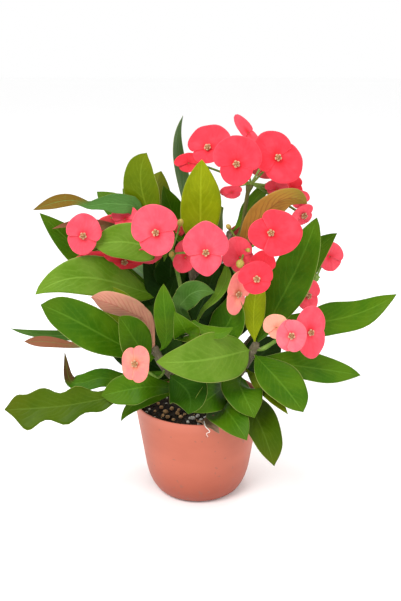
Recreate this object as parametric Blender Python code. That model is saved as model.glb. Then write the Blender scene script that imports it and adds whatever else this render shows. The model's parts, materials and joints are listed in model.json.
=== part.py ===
"""Potted euphorbia: a crown-of-thorns plant in a small round-footed plastic pot.

The origin is the middle of the pot's foot, +Z is up and -Y is the plant's front.
Lengths in the planting tables are millimetres on the full-size plant.
"""

import math
from dataclasses import dataclass

import bmesh
import bpy
from mathutils import Matrix, Vector

MM = 0.001
CLEARANCE = 0.3 * MM

# Pot
POT_HEIGHT = 81 * MM
POT_RIM_RADIUS = 53.2 * MM
POT_SHOULDER_RADIUS = 44.5 * MM
POT_FOOT_RADIUS = 31 * MM
POT_ROUNDING_HEIGHT = 24 * MM
POT_WALL = 1.4 * MM
POT_FLOOR = 1.8 * MM
POT_SIDES = 48
DRAIN_HOLES = 6
DRAIN_RADIUS = 4 * MM
DRAIN_CIRCLE_RADIUS = 20 * MM
DRAIN_TURN = math.radians(11)

# Soil
SOIL_DROP = 15 * MM
SOIL_BUMP = 0.9 * MM
ROOT_DEPTH = 28 * MM

# Plant
PLANT_SCALE = 1.0
TRUNK_RADIUS = 6.5 * MM
BRANCH_RADIUS = 4.2 * MM
STALK_RADIUS = 1.7 * MM
STALK_HEAD_RADIUS = 2.9 * MM
PEDICEL_RADIUS = 0.9 * MM
LOW_PEDICEL_ALONG = 0.8
PETIOLE_RADIUS = 1.1 * MM
LEAF_THICKNESS = 1.1 * MM
BRACT_THICKNESS = 0.9 * MM
CUP_RADIUS = 2.4 * MM
CUP_HEIGHT = 3.8 * MM

# Shapes of the stems: they taper, swell and fall slightly in girth, and end in a dome.
STEM_SIDES = 10
STEM_STEPS = 14
STEM_TAPER = 0.28
STEM_SWELL = 0.06
STEM_SWELL_TURNS = 9
STEM_DOME = 0.4
BRANCH_STRAIGHT = 8 * MM
TRUNK_FOOT_BACK = 10 * MM

# Shapes of the leaves, as shares of a leaf's length or width.
LEAF_STRAIGHT = 0.18
LEAF_BEND_AT = 0.6
LEAF_BEND_PULL = 1.8
LEAF_TWIST_FROM = 0.35
LEAF_TWIST_OVER = 0.5
LEAF_THINNING = 0.5
PETIOLE_LENGTH = 0.25
PETIOLE_SHARE = 0.45

UP = Vector((0, 0, 1))
SOIL_TOP = POT_HEIGHT - SOIL_DROP


@dataclass(frozen=True)
class Stem:
    """A woody stem from its foot to its crown, both measured from the middle of the soil's top."""

    name: str
    parent: str
    along: float
    bend: tuple
    crown: tuple


@dataclass(frozen=True)
class Stalk:
    """A flower stalk that leaves a stem and ends in a head that carries flowers."""

    name: str
    stem: str
    along: float
    head: tuple


@dataclass(frozen=True)
class Leaf:
    """A leaf: where it leaves its stem, how far its tip reaches and which way its top looks."""

    name: str
    stem: str
    along: float
    reach: tuple
    face: tuple
    width: float
    bend: tuple = (0, 0, 0)
    twist: float = 0.0
    cup: float = 0.14
    widest: float = 0.6
    colour: str = "mid"


@dataclass(frozen=True)
class Flower:
    """A pair of round bracts about a small cup, on a pedicel that leaves a stalk's head."""

    name: str
    stalk: str
    centre: tuple
    face: tuple
    size: tuple
    spin: float = 0.0
    cup: float = 0.10
    colour: str = "rose"


STEMS = (
    Stem("trunk", "", 0.0, (10, 14, 60), (-6, 16, 138)),
    Stem("branch_left", "trunk", 0.42, (-30, 26, 92), (-44, 20, 156)),
    Stem("branch_back", "trunk", 0.50, (24, 20, 100), (26, 12, 152)),
    Stem("branch_right", "trunk", 0.24, (36, -12, 38), (46, -22, 70)),
    Stem("branch_front", "trunk", 0.27, (-24, -22, 36), (-33, -36, 72)),
    Stem("branch_middle", "trunk", 0.36, (-2, -8, 62), (-6, -12, 84)),
    Stem("branch_rear", "trunk", 0.33, (44, 26, 50), (70, 18, 92)),
)

STALKS = (
    Stalk("stalk_top", "branch_back", 0.98, (40, 0, 192)),
    Stalk("stalk_left", "branch_left", 0.84, (-74, 8, 140)),
    Stalk("stalk_middle", "branch_middle", 0.90, (-19, -13, 142)),
    Stalk("stalk_inner", "branch_back", 0.50, (36, -6, 142)),
    Stalk("stalk_right", "branch_right", 0.97, (68, -27, 79)),
    Stalk("stalk_rear", "branch_rear", 0.94, (99, 32, 108)),
)

LEAVES = (
    Leaf("leaf_back_tall", "trunk", 0.95, (-7, 14, 112), (1.0, -0.35, 0.1), 28, bend=(-13, 0, 0),
         colour="blue"),
    Leaf("leaf_back_upright", "trunk", 0.99, (9, -28, 78), (0.1, -1.0, -0.3), 32, colour="young"),
    Leaf("leaf_back_olive", "branch_left", 0.98, (4, -10, 64), (-0.3, -1.0, -0.2), 30, bend=(-9, 0, 0),
         colour="olive"),
    Leaf("leaf_left_twisted", "branch_left", 0.93, (-84, -35, 33), (0.1, -0.9, 0.5), 25, bend=(0, 0, 21),
         twist=160,
         colour="bronze"),
    Leaf("leaf_left_behind", "branch_left", 0.70, (-95, -14, 66), (0.4, -1.0, 0.5), 31, bend=(0, 0, -8),
         colour="dark"),
    Leaf("leaf_left_middle", "branch_left", 0.78, (-45, -52, 42), (-0.2, -0.9, 0.6), 28, colour="light"),
    Leaf("leaf_left_arching", "branch_left", 0.68, (-91, -73, 21), (0.1, -0.9, 0.8), 35, bend=(0, 0, 19),
         colour="light"),
    Leaf("leaf_left_broad", "branch_front", 0.96, (-81, -32, 51), (0.3, -1.0, 0.7), 33, bend=(0, 0, 2),
         widest=0.64, colour="dark"),
    Leaf("leaf_front_pink", "branch_front", 0.99, (-47, -16, 50), (0.2, 1.0, 0.3), 21, bend=(12, 0, 17),
         colour="bronze"),
    Leaf("leaf_front_cupped", "branch_front", 0.95, (-25, -33, 43), (0.6, -1.0, 0.4), 28, colour="dark"),
    Leaf("leaf_front_upright", "branch_front", 0.98, (8, -23, 62), (0.1, -1.0, -0.2), 17, colour="light"),
    Leaf("leaf_middle_oval", "branch_middle", 0.97, (19, -18, 33), (-0.4, -1.0, 0.4), 33, bend=(-9, 0, 8),
         colour="blue"),
    Leaf("leaf_middle_curved", "branch_middle", 0.93, (29, -2, 56), (0.9, -0.5, -0.3), 16, bend=(3, 4, -6),
         colour="blue"),
    Leaf("leaf_middle_right", "branch_middle", 0.70, (30, -17, 53), (-0.4, -1.0, 0.5), 30, bend=(8, 0, -8),
         colour="dark"),
    Leaf("leaf_middle_folded", "branch_middle", 0.86, (18, -27, 6), (0.0, 0.3, 1.0), 36, bend=(0, -2, 7),
         cup=0.45,
         colour="blue"),
    Leaf("leaf_front_large", "branch_right", 0.95, (-74, -60, 15), (0.1, -1.0, 0.6), 39, bend=(3, -8, 0),
         widest=0.48, colour="light"),
    Leaf("leaf_front_long", "branch_front", 0.64, (-126, -53, -1), (0.1, -0.9, 0.8), 30, bend=(0, 0, -2),
         twist=10,
         colour="olive"),
    Leaf("leaf_front_short", "branch_front", 0.40, (-60, -57, 19), (0.0, -0.9, 0.7), 22, bend=(0, -10, -4),
         colour="dark"),
    Leaf("leaf_front_hanging", "branch_front", 0.72, (16, -49, -12), (-0.1, -1.0, 0.5), 33, bend=(7, 0, 5),
         colour="mid"),
    Leaf("leaf_low_drooping", "branch_right", 0.66, (9, -53, -14), (0.2, -1.0, 0.5), 34, bend=(-6, 0, 11),
         colour="dark"),
    Leaf("leaf_low_front", "trunk", 0.215, (28, -86, 4), (0.0, -1.0, 0.6), 31, bend=(-6, -4, 16),
         colour="light"),
    Leaf("leaf_low_hanging", "branch_right", 0.55, (28, -67, -42), (0.5, -1.0, 0.4), 33, bend=(0, 2, 12),
         colour="olive"),
    Leaf("leaf_right_drooping", "branch_right", 0.92, (37, -42, -32), (0.6, -0.9, 0.6), 38, bend=(0, 0, 4),
         colour="mid"),
    Leaf("leaf_right_low", "branch_right", 0.86, (91, 3, -17), (0.1, -0.8, 0.9), 27, bend=(0, 0, 1),
         colour="dark"),
    Leaf("leaf_right_far", "branch_rear", 0.88, (107, 10, 17), (0.0, -1.0, 0.5), 28, bend=(0, 0, -12),
         colour="mid"),
    Leaf("leaf_right_tall", "branch_right", 0.99, (47, 20, 99), (-0.5, -1.0, 0.2), 34, bend=(4, 0, 1),
         colour="dark"),
    Leaf("leaf_right_behind", "branch_rear", 0.98, (47, 16, 57), (-0.4, -1.0, 0.3), 27, bend=(-7, 7, -1),
         colour="dark"),
    Leaf("leaf_back_bronze", "branch_back", 0.92, (58, -25, 41), (-0.2, 1.0, 0.5), 24, bend=(-4, -8, 22),
         colour="bronze"),
    Leaf("leaf_rear_left", "branch_left", 0.66, (-40, 58, 8), (0.0, 0.5, 1.0), 30, bend=(0, 0, 10),
         colour="dark"),
    Leaf("leaf_rear_middle", "trunk", 0.80, (-14, 72, 4), (0.0, 0.4, 1.0), 32, bend=(0, 0, 14),
         colour="mid"),
    Leaf("leaf_rear_right", "branch_back", 0.62, (30, 62, 0), (0.1, 0.4, 1.0), 30, bend=(0, 0, 14),
         colour="dark"),
)

FLOWERS = (
    Flower("flower_top_front", "stalk_top", (29, -18, 214), (-0.1, -1.0, 0.3), (38, 40)),
    Flower("flower_top_right", "stalk_top", (60, -8, 215), (0.2, -1.0, 0.3), (38, 38), spin=32),
    Flower("flower_top_left", "stalk_top", (9, 2, 223), (-0.4, -0.8, 0.6), (32, 32), spin=15),
    Flower("flower_left_upper", "stalk_middle", (-31, -32, 165), (-0.2, -1.0, 0.4), (37, 41), spin=10),
    Flower("flower_left_outer", "stalk_left", (-88, -12, 157), (0.2, -0.9, 0.3), (27, 32)),
    Flower("flower_middle", "stalk_middle", (6, -34, 151), (0.0, -1.0, 0.4), (34, 40), spin=-8),
    Flower("flower_inner_right", "stalk_inner", (57, -32, 163), (0.1, -1.0, 0.4), (42, 33)),
    Flower("flower_inner_low", "stalk_inner", (44, -38, 130), (0.1, -1.0, 0.4), (28, 26)),
    Flower("flower_right_front", "stalk_right", (71, -44, 86), (0.1, -1.0, 0.3), (25, 27)),
    Flower("flower_right_back", "stalk_right", (88, -26, 82), (0.3, -1.0, 0.2), (29, 44)),
    Flower("flower_right_upper", "stalk_rear", (88, 0, 104), (0.5, -0.8, 0.3), (27, 28)),
    Flower("flower_right_far", "stalk_rear", (112, 46, 123), (0.4, -0.9, 0.3), (27, 25)),
    Flower("flower_low_pale", "branch_front", (-45, -72, 75), (-0.1, -1.0, 0.4), (23, 30), colour="pale"),
    Flower("flower_rear_top", "stalk_top", (52, 28, 206), (0.3, 1.0, 0.4), (34, 34)),
)

COLOURS = {
    "pot": ((0.72, 0.19, 0.12), 0.45),
    "soil": ((0.030, 0.020, 0.014), 0.95),
    "bark": ((0.16, 0.12, 0.07), 0.85),
    "stalk": ((0.22, 0.33, 0.06), 0.55),
    "young": ((0.36, 0.38, 0.01), 0.45),
    "light": ((0.24, 0.40, 0.04), 0.45),
    "mid": ((0.10, 0.27, 0.015), 0.45),
    "dark": ((0.05, 0.17, 0.012), 0.45),
    "olive": ((0.14, 0.20, 0.012), 0.45),
    "blue": ((0.06, 0.19, 0.07), 0.45),
    "bronze": ((0.36, 0.17, 0.06), 0.50),
    "rose": ((0.95, 0.09, 0.13), 0.50),
    "pale": ((0.95, 0.36, 0.34), 0.50),
}


def clear_scene():
    for thing in list(bpy.data.objects):
        bpy.data.objects.remove(thing, do_unlink=True)


def finish_of(name):
    """The material of that name, made once."""
    if name in bpy.data.materials:
        return bpy.data.materials[name]
    colour, roughness = COLOURS[name]
    material = bpy.data.materials.new(name)
    material.use_nodes = True
    shader = material.node_tree.nodes["Principled BSDF"]
    shader.inputs["Base Color"].default_value = (*colour, 1.0)
    shader.inputs["Roughness"].default_value = roughness
    shader.inputs["Metallic"].default_value = 0.0
    return material


def add_object(name, shape, finish, smooth=True):
    """Turns a bmesh into a named object with its faces pointing out."""
    bmesh.ops.recalc_face_normals(shape, faces=shape.faces)
    mesh = bpy.data.meshes.new(name)
    shape.to_mesh(mesh)
    shape.free()
    if smooth:
        mesh.shade_smooth()
        mesh.set_sharp_from_angle(angle=math.radians(50))
    thing = bpy.data.objects.new(name, mesh)
    bpy.context.scene.collection.objects.link(thing)
    mesh.materials.append(finish_of(finish))
    return thing


def loft(rings, first_pole, last_pole):
    """A closed bmesh skin over rings of equal, even count, shut by a pole at each end.

    The four-sided cells are split by diagonals that alternate, so a thin twisted blade's two sides
    keep the same creases and stay apart.
    """
    shape = bmesh.new()
    loops = [[shape.verts.new(point) for point in ring] for ring in rings]
    count = len(loops[0])
    for lower, upper in zip(loops, loops[1:]):
        for i in range(count):
            j = (i + 1) % count
            a, b = (i, j) if i % 2 == 0 else (j, i)
            shape.faces.new((lower[i], lower[j], upper[b]))
            shape.faces.new((lower[a], upper[j], upper[i]))
    for loop, pole in ((loops[0], first_pole), (loops[-1], last_pole)):
        tip = shape.verts.new(pole)
        for i in range(count):
            shape.faces.new((loop[i], loop[(i + 1) % count], tip))
    return shape


def turned(profile, sides):
    """A closed bmesh turned about Z from (radius, height) points that start and end on the axis."""
    rings = [
        [Vector((r * math.cos(a), r * math.sin(a), z)) for a in angles_of(sides)] for r, z in profile[1:-1]
    ]
    return loft(rings, Vector((0, 0, profile[0][1])), Vector((0, 0, profile[-1][1])))


def angles_of(count):
    return [2 * math.pi * i / count for i in range(count)]


def bezier(points, t):
    """The point at t on the Bezier curve of any number of control points."""
    points = list(points)
    while len(points) > 1:
        points = [a.lerp(b, t) for a, b in zip(points, points[1:])]
    return points[0]


def bezier_tangent(points, t):
    steps = [b - a for a, b in zip(points, points[1:])]
    return bezier(steps, t).normalized()


def smooth_step(t):
    t = min(max(t, 0.0), 1.0)
    return t * t * (3 - 2 * t)


def across(direction, hint):
    """The unit vector square to direction that lies nearest to hint."""
    square = hint - direction * hint.dot(direction)
    if square.length < 1e-6:
        square = direction.orthogonal()
    return square.normalized()


def planted(point):
    """A table point, measured from the middle of the soil's top, in metres from the pot's foot."""
    return Vector(point) * MM * PLANT_SCALE + Vector((0, 0, SOIL_TOP))


# --- Pot and soil ---------------------------------------------------------------------------------


def pot_outer_radius(z):
    """The pot's outer radius at a height: a rounded foot under a straight, widening side."""
    if z >= POT_ROUNDING_HEIGHT:
        rise = (z - POT_ROUNDING_HEIGHT) / (POT_HEIGHT - POT_ROUNDING_HEIGHT)
        return POT_SHOULDER_RADIUS + (POT_RIM_RADIUS - POT_SHOULDER_RADIUS) * rise
    sink = 1 - z / POT_ROUNDING_HEIGHT
    return POT_FOOT_RADIUS + (POT_SHOULDER_RADIUS - POT_FOOT_RADIUS) * math.sqrt(max(0.0, 1 - sink**2))


def pot_inner_radius(z):
    """The inside follows the outside, a wall's thickness in and a floor's thickness up."""
    lowered = max(0.0, z - POT_FLOOR)
    return pot_outer_radius(lowered + min(lowered, POT_FLOOR)) - POT_WALL


def rounding_heights(steps, start, top):
    """Heights that crowd towards the foot, where the rounding turns fastest."""
    return [start + (top - start) * (1 - math.cos(math.pi / 2 * i / steps)) for i in range(1, steps + 1)]


def build_pot():
    steps = 6
    lip = POT_WALL / 2
    outer = [(pot_outer_radius(z), z) for z in rounding_heights(steps, 0.0, POT_ROUNDING_HEIGHT)]
    outer += [(pot_outer_radius(POT_HEIGHT - lip), POT_HEIGHT - lip)]
    crest = [(pot_outer_radius(POT_HEIGHT) - 0.4 * lip, POT_HEIGHT - 0.3 * lip),
             (pot_outer_radius(POT_HEIGHT) - lip, POT_HEIGHT),
             (pot_outer_radius(POT_HEIGHT) - 1.6 * lip, POT_HEIGHT - 0.3 * lip),
             (pot_inner_radius(POT_HEIGHT - lip), POT_HEIGHT - lip)]
    inner_heights = rounding_heights(steps, POT_FLOOR, POT_ROUNDING_HEIGHT)[::-1]
    inner = [(pot_inner_radius(z), z) for z in inner_heights]
    profile = [(0, 0), (POT_FOOT_RADIUS, 0), *outer, *crest, *inner,
               (POT_FOOT_RADIUS - POT_WALL, POT_FLOOR), (0, POT_FLOOR)]
    pot = add_object("pot", turned(profile, POT_SIDES), "pot")
    for i, angle in enumerate(angles_of(DRAIN_HOLES)):
        cut(pot, drain_cutter(f"drain_cutter_{i + 1}", angle + DRAIN_TURN))
    return pot


def drain_cutter(name, angle):
    """A short rod through the pot's floor, longer than the floor is thick."""
    shape = bmesh.new()
    place = Matrix.Rotation(angle, 4, "Z") @ Matrix.Translation((DRAIN_CIRCLE_RADIUS, 0, 0))
    bmesh.ops.create_cone(shape, cap_ends=True, segments=16, radius1=DRAIN_RADIUS, radius2=DRAIN_RADIUS,
                          depth=6 * POT_FLOOR, matrix=place)
    return add_object(name, shape, "pot")


def cut(thing, cutter):
    cutter.hide_render = True
    cutter.display_type = "WIRE"
    boolean = thing.modifiers.new(cutter.name, "BOOLEAN")
    boolean.operation = "DIFFERENCE"
    boolean.solver = "EXACT"
    boolean.object = cutter


def soil_height(x, y):
    """A loosely filled surface: low mounds in two sizes, in metres about the soil's top."""
    coarse = math.sin(x / (9 * MM) + 0.7) * math.cos(y / (8 * MM) - 0.4)
    fine = math.sin(x / (3.7 * MM) - y / (5 * MM)) * 0.4
    return SOIL_BUMP * (coarse + fine)


def build_soil(trunk_cutter):
    """The root ball: it fills the pot with a clearance all round and holds the trunk in a pocket."""
    floor = POT_FLOOR + CLEARANCE
    sides = [(pot_inner_radius(z) - 2 * CLEARANCE, z + CLEARANCE)
             for z in rounding_heights(5, POT_FLOOR, POT_ROUNDING_HEIGHT)]
    edge = SOIL_TOP - 2 * SOIL_BUMP
    rim = pot_inner_radius(edge) - 2 * CLEARANCE
    top = [(rim, edge)] + [(rim * share, SOIL_TOP) for share in (0.9, 0.72, 0.52, 0.3, 0.12)]
    profile = [(0, floor), (POT_FOOT_RADIUS - POT_WALL - 2 * CLEARANCE, floor), *sides, *top, (0, SOIL_TOP)]
    shape = turned(profile, 40)
    for vert in shape.verts:
        if vert.co.z > edge + SOIL_BUMP:
            vert.co.z += soil_height(vert.co.x, vert.co.y)
    soil = add_object("soil", shape, "soil")
    cut(soil, trunk_cutter)
    return soil


# --- Stems and stalks -----------------------------------------------------------------------------


def tube(path, radii, sides, steps, foot_cap, dome):
    """A round tube along a Bezier path: radii(t) is its radius, and a dome of that height ends it."""
    rings = []
    side = across(bezier_tangent(path, 0.0), Vector((1, 0.3, 0.2)))
    for i in range(steps + 1):
        t = i / steps
        along = bezier_tangent(path, t)
        side = across(along, side)
        rings.append(round_ring(bezier(path, t), side, along.cross(side), radii(t), sides))
    end, along = bezier(path, 1.0), bezier_tangent(path, 1.0)
    rings.append(round_ring(end + along * 0.6 * dome, side, along.cross(side), 0.8 * radii(1.0), sides))
    return loft(rings, bezier(path, 0.0) - bezier_tangent(path, 0.0) * foot_cap, end + along * dome)


def round_ring(centre, side, other, radius, sides):
    return [centre + (side * math.cos(a) + other * math.sin(a)) * radius for a in angles_of(sides)]


class Planting:
    """The stems and stalks as built, so that leaves and flowers can find their seats on them."""

    def __init__(self):
        self.paths = {}
        self.radii = {}
        self.heads = {}

    def seat(self, stem, along, towards, gap=CLEARANCE):
        """The point just off a stem's side, at a share of its length, on the side of a direction."""
        path = self.paths[stem]
        axis = bezier_tangent(path, along)
        out = across(axis, towards)
        return bezier(path, along) + out * (self.radii[stem](along) + gap), out

    def add_stem(self, stem):
        crown = planted(stem.crown)
        bend = planted(stem.bend)
        if stem.parent:
            towards = bend - bezier(self.paths[stem.parent], stem.along)
            base_radius = BRANCH_RADIUS
            foot, out = self.seat(stem.parent, stem.along, towards, 2 * CLEARANCE)
            path = (foot, foot + out * BRANCH_STRAIGHT * PLANT_SCALE, bend, crown)
            foot_cap = CLEARANCE
        else:
            base_radius = TRUNK_RADIUS
            foot = Vector((bend.x, TRUNK_FOOT_BACK * PLANT_SCALE, SOIL_TOP - ROOT_DEPTH))
            path = (foot, bend, crown)
            foot_cap = STEM_DOME * TRUNK_RADIUS
        self.paths[stem.name] = path
        self.radii[stem.name] = lambda t: base_radius * (
            1 - STEM_TAPER * t + STEM_SWELL * math.sin(STEM_SWELL_TURNS * t))
        dome = STEM_DOME * base_radius
        shape = tube(path, self.radii[stem.name], STEM_SIDES, STEM_STEPS, foot_cap, dome)
        return add_object(stem.name, shape, "bark")

    def trunk_cutter(self):
        """The trunk's pocket in the soil: the trunk itself, grown by the clearance."""
        radii = self.radii["trunk"]
        foot_cap = STEM_DOME * TRUNK_RADIUS + 2 * CLEARANCE
        shape = tube(self.paths["trunk"], lambda t: radii(t) + 1.3 * CLEARANCE, STEM_SIDES, STEM_STEPS,
                     foot_cap, TRUNK_RADIUS)
        return add_object("trunk_pocket_cutter", shape, "soil")

    def add_stalk(self, stalk):
        head = planted(stalk.head)
        towards = head - bezier(self.paths[stalk.stem], stalk.along)
        foot, out = self.seat(stalk.stem, stalk.along, towards, 2 * CLEARANCE)
        reach = (head - foot).length
        path = (foot, foot + out * 0.2 * reach, foot.lerp(head, 0.6) + UP * 0.05 * reach, head)
        self.heads[stalk.name] = head

        def radii(t):
            head_share = smooth_step((t - 0.9) / 0.1)
            shaft = STALK_RADIUS * (1 + 0.1 * math.sin(7 * t))
            return shaft + (STALK_HEAD_RADIUS - STALK_RADIUS) * head_share

        return add_object(stalk.name, tube(path, radii, 8, 10, CLEARANCE, STALK_HEAD_RADIUS), "stalk")


# --- Leaves ---------------------------------------------------------------------------------------

LEAF_STATIONS = (0.03, 0.12, 0.22, 0.33, 0.44, 0.55, 0.66, 0.77, 0.87, 0.95)


def blade_share(t, widest):
    """A blade's width as a share of its greatest, which it has at that share of its length."""
    shifted = t ** (math.log(0.5) / math.log(widest))
    return math.sin(math.pi * shifted) ** 0.85


def build_leaf(planting, leaf):
    """A thin closed blade on a short petiole; its top is hollowed along the midrib by its cup."""
    scale = MM * PLANT_SCALE
    reach = Vector(leaf.reach) * scale
    base, out = planting.seat(leaf.stem, leaf.along, reach)
    tip = bezier(planting.paths[leaf.stem], leaf.along) + reach
    run = tip - base
    start = (out + run.normalized() * 0.5).normalized()
    middle = base + run * LEAF_BEND_AT + Vector(leaf.bend) * scale * LEAF_BEND_PULL
    path = (base, base + start * LEAF_STRAIGHT * run.length, middle, tip)
    half = leaf.width * scale / 2
    rings = []
    for t in LEAF_STATIONS:
        along = bezier_tangent(path, t)
        turned_share = smooth_step((t - LEAF_TWIST_FROM) / LEAF_TWIST_OVER)
        turn = Matrix.Rotation(math.radians(leaf.twist) * turned_share, 3, along)
        normal = turn @ across(along, Vector(leaf.face))
        side = along.cross(normal)
        wide = max(half * blade_share(t, leaf.widest), PETIOLE_RADIUS * (0.6 if t < 0.05 else 1.0))
        petiole = PETIOLE_SHARE * (1 - smooth_step(t / PETIOLE_LENGTH))
        thick = LEAF_THICKNESS / 2 * (1 - LEAF_THINNING * t) + petiole * PETIOLE_RADIUS
        centre = bezier(path, t) - normal * leaf.cup * wide * 0.5
        edge = normal * leaf.cup * wide
        rings.append([centre - side * wide + edge, centre + normal * thick, centre + side * wide + edge,
                      centre - normal * thick])
    return add_object(leaf.name, loft(rings, base, tip), leaf.colour)


# --- Flowers --------------------------------------------------------------------------------------


def bract_outline(angle):
    """The rim of two overlapping round bracts: full at the ends, nipped where the two meet."""
    nip = 0.13 * math.exp(-((math.cos(angle)) / 0.28) ** 2)
    dimple = 0.05 * math.exp(-((math.sin(angle)) / 0.22) ** 2)
    return 1.0 - nip - dimple


def build_flower(planting, flower):
    """Cup, bracts and pedicel as one closed body, made of rings of twelve points."""
    scale = MM * PLANT_SCALE
    centre = planted(flower.centre)
    face = Vector(flower.face).normalized()
    head_top = Matrix.Rotation(math.radians(flower.spin), 3, face) @ across(face, UP)
    right = head_top.cross(face)
    half_wide, half_tall = (value * scale / 2 for value in flower.size)
    angles = angles_of(12)

    def ring(share_or_radius, height, outlined):
        points = []
        for a in angles:
            if outlined:
                rim = bract_outline(a) * share_or_radius
                offset = right * math.sin(a) * half_wide * rim + head_top * math.cos(a) * half_tall * rim
                lobe = height + flower.cup * half_tall * share_or_radius**2 * (1.0 + 0.5 * math.cos(2 * a))
            else:
                offset = (right * math.sin(a) + head_top * math.cos(a)) * share_or_radius
                lobe = height
            points.append(centre + offset + face * lobe)
        return points

    under = -BRACT_THICKNESS
    rings = [
        ring(0.65 * CUP_RADIUS, CUP_HEIGHT, False),
        ring(CUP_RADIUS, 0.45 * CUP_HEIGHT, False),
        ring(0.22, 0.3 * BRACT_THICKNESS, True),
        ring(0.62, 0.5 * BRACT_THICKNESS, True),
        ring(1.0, 0.0, True),
        ring(0.6, under, True),
        ring(CUP_RADIUS * 0.8, 2 * under, False),
    ]
    neck = centre + face * 2.8 * under
    anchor, arrive = pedicel_end(planting, flower, neck)
    reach = (anchor - neck).length
    path = (neck, neck - face * 0.4 * reach, anchor + arrive * 0.35 * reach, anchor)
    side = head_top
    for t in (0.0, 0.35, 0.7, 0.97):
        along = bezier_tangent(path, t)
        side = across(along, side)
        other = side.cross(along)
        thick = PEDICEL_RADIUS * (1.15 - 0.35 * t + 0.2 * t * t)
        at = bezier(path, t)
        rings.append([at + (other * -math.sin(a) + side * math.cos(a)) * thick for a in angles])
    crest = centre + face * (CUP_HEIGHT + 0.3 * CUP_RADIUS)
    return add_object(flower.name, loft(rings, crest, anchor), flower.colour)


def pedicel_end(planting, flower, neck):
    """Where a pedicel meets its stalk's head, or its stem's side where it has no stalk."""
    if flower.stalk in planting.heads:
        head = planting.heads[flower.stalk]
        out = (neck - head).normalized()
        return head + out * (STALK_HEAD_RADIUS + 1.5 * CLEARANCE), out
    towards = neck - bezier(planting.paths[flower.stalk], LOW_PEDICEL_ALONG)
    return planting.seat(flower.stalk, LOW_PEDICEL_ALONG, towards)


def main():
    clear_scene()
    build_pot()
    planting = Planting()
    for stem in STEMS:
        planting.add_stem(stem)
    build_soil(planting.trunk_cutter())
    for stalk in STALKS:
        planting.add_stalk(stalk)
    for leaf in LEAVES:
        build_leaf(planting, leaf)
    for flower in FLOWERS:
        build_flower(planting, flower)


main()
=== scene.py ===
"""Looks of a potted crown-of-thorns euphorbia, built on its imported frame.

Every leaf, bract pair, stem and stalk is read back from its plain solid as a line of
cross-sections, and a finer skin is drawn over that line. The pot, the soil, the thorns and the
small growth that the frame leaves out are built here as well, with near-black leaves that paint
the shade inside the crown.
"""

import json
import logging
import math
from collections.abc import Callable
from dataclasses import dataclass, field
from enum import Enum

import bmesh
import bpy
from mathutils import Matrix, Vector, noise


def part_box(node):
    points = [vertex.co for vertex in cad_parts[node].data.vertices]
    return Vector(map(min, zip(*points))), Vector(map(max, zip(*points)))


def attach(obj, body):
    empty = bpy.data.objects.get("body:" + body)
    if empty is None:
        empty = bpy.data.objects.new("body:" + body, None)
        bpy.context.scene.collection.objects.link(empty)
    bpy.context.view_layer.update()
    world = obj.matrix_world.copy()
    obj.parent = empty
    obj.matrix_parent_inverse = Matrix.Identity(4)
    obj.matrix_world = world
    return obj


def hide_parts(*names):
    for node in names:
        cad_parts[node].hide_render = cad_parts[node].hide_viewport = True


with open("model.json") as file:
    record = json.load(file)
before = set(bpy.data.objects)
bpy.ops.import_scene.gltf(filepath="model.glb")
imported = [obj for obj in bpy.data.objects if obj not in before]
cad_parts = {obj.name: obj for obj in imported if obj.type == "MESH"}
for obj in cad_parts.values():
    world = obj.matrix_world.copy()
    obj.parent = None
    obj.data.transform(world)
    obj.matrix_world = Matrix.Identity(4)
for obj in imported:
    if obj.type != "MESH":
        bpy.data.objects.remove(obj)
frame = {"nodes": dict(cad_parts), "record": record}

MM = 0.001
UP = Vector((0, 0, 1))
ROOT = "root"
WELD = 2e-6  # points nearer than this, in metres, are one
PETIOLE = 0.9 * MM  # half width and half thickness of a leaf's stalk
FULL_TURN = 2 * math.pi
log = logging.getLogger("euphorbia")

Place = tuple[float, float]
Place3 = tuple[float, float, float]
Colour = tuple[float, float, float]
Ring = list[tuple[Vector, Place, float]]
Socket = bpy.types.NodeSocket


# --- Curves and skins ---


def spline(points: list, t: float) -> "Vector | float":
    """Reads a smooth line through evenly numbered points or numbers.

    Args:
        points: Vectors or numbers, at least two.
        t: Place on the line, from 0 at the first to 1 at the last.

    Returns:
        The value there, of the points' own kind.
    """
    last = len(points) - 1
    place = min(max(t, 0.0), 1.0) * last
    i = min(int(place), last - 1)
    f = place - i
    b, c = points[i], points[i + 1]
    a = points[i - 1] if i > 0 else b * 2 - c
    d = points[i + 2] if i + 2 <= last else c * 2 - b
    square, cube = a * 2 - b * 5 + c * 4 - d, b * 3 - c * 3 + d - a
    return (b * 2 + (c - a) * f + square * f**2 + cube * f**3) * 0.5


def bezier(points: list[Vector], t: float) -> Vector:
    """Reads a Bezier curve.

    Args:
        points: Its control points, of any number.
        t: Place on it, from 0 to 1.

    Returns:
        The point there.
    """
    points = list(points)
    while len(points) > 1:
        points = [a.lerp(b, t) for a, b in zip(points, points[1:])]
    return points[0]


def square_to(direction: Vector, hint: Vector) -> Vector:
    """The unit vector square to a unit direction that lies nearest to hint."""
    square = hint - direction * hint.dot(direction)
    return square.normalized() if square.length > 1e-6 else direction.orthogonal().normalized()


def bell(x: float, width: float) -> float:
    """A smooth hump of height 1 at x = 0."""
    return math.exp(-((x / width) ** 2))


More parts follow.
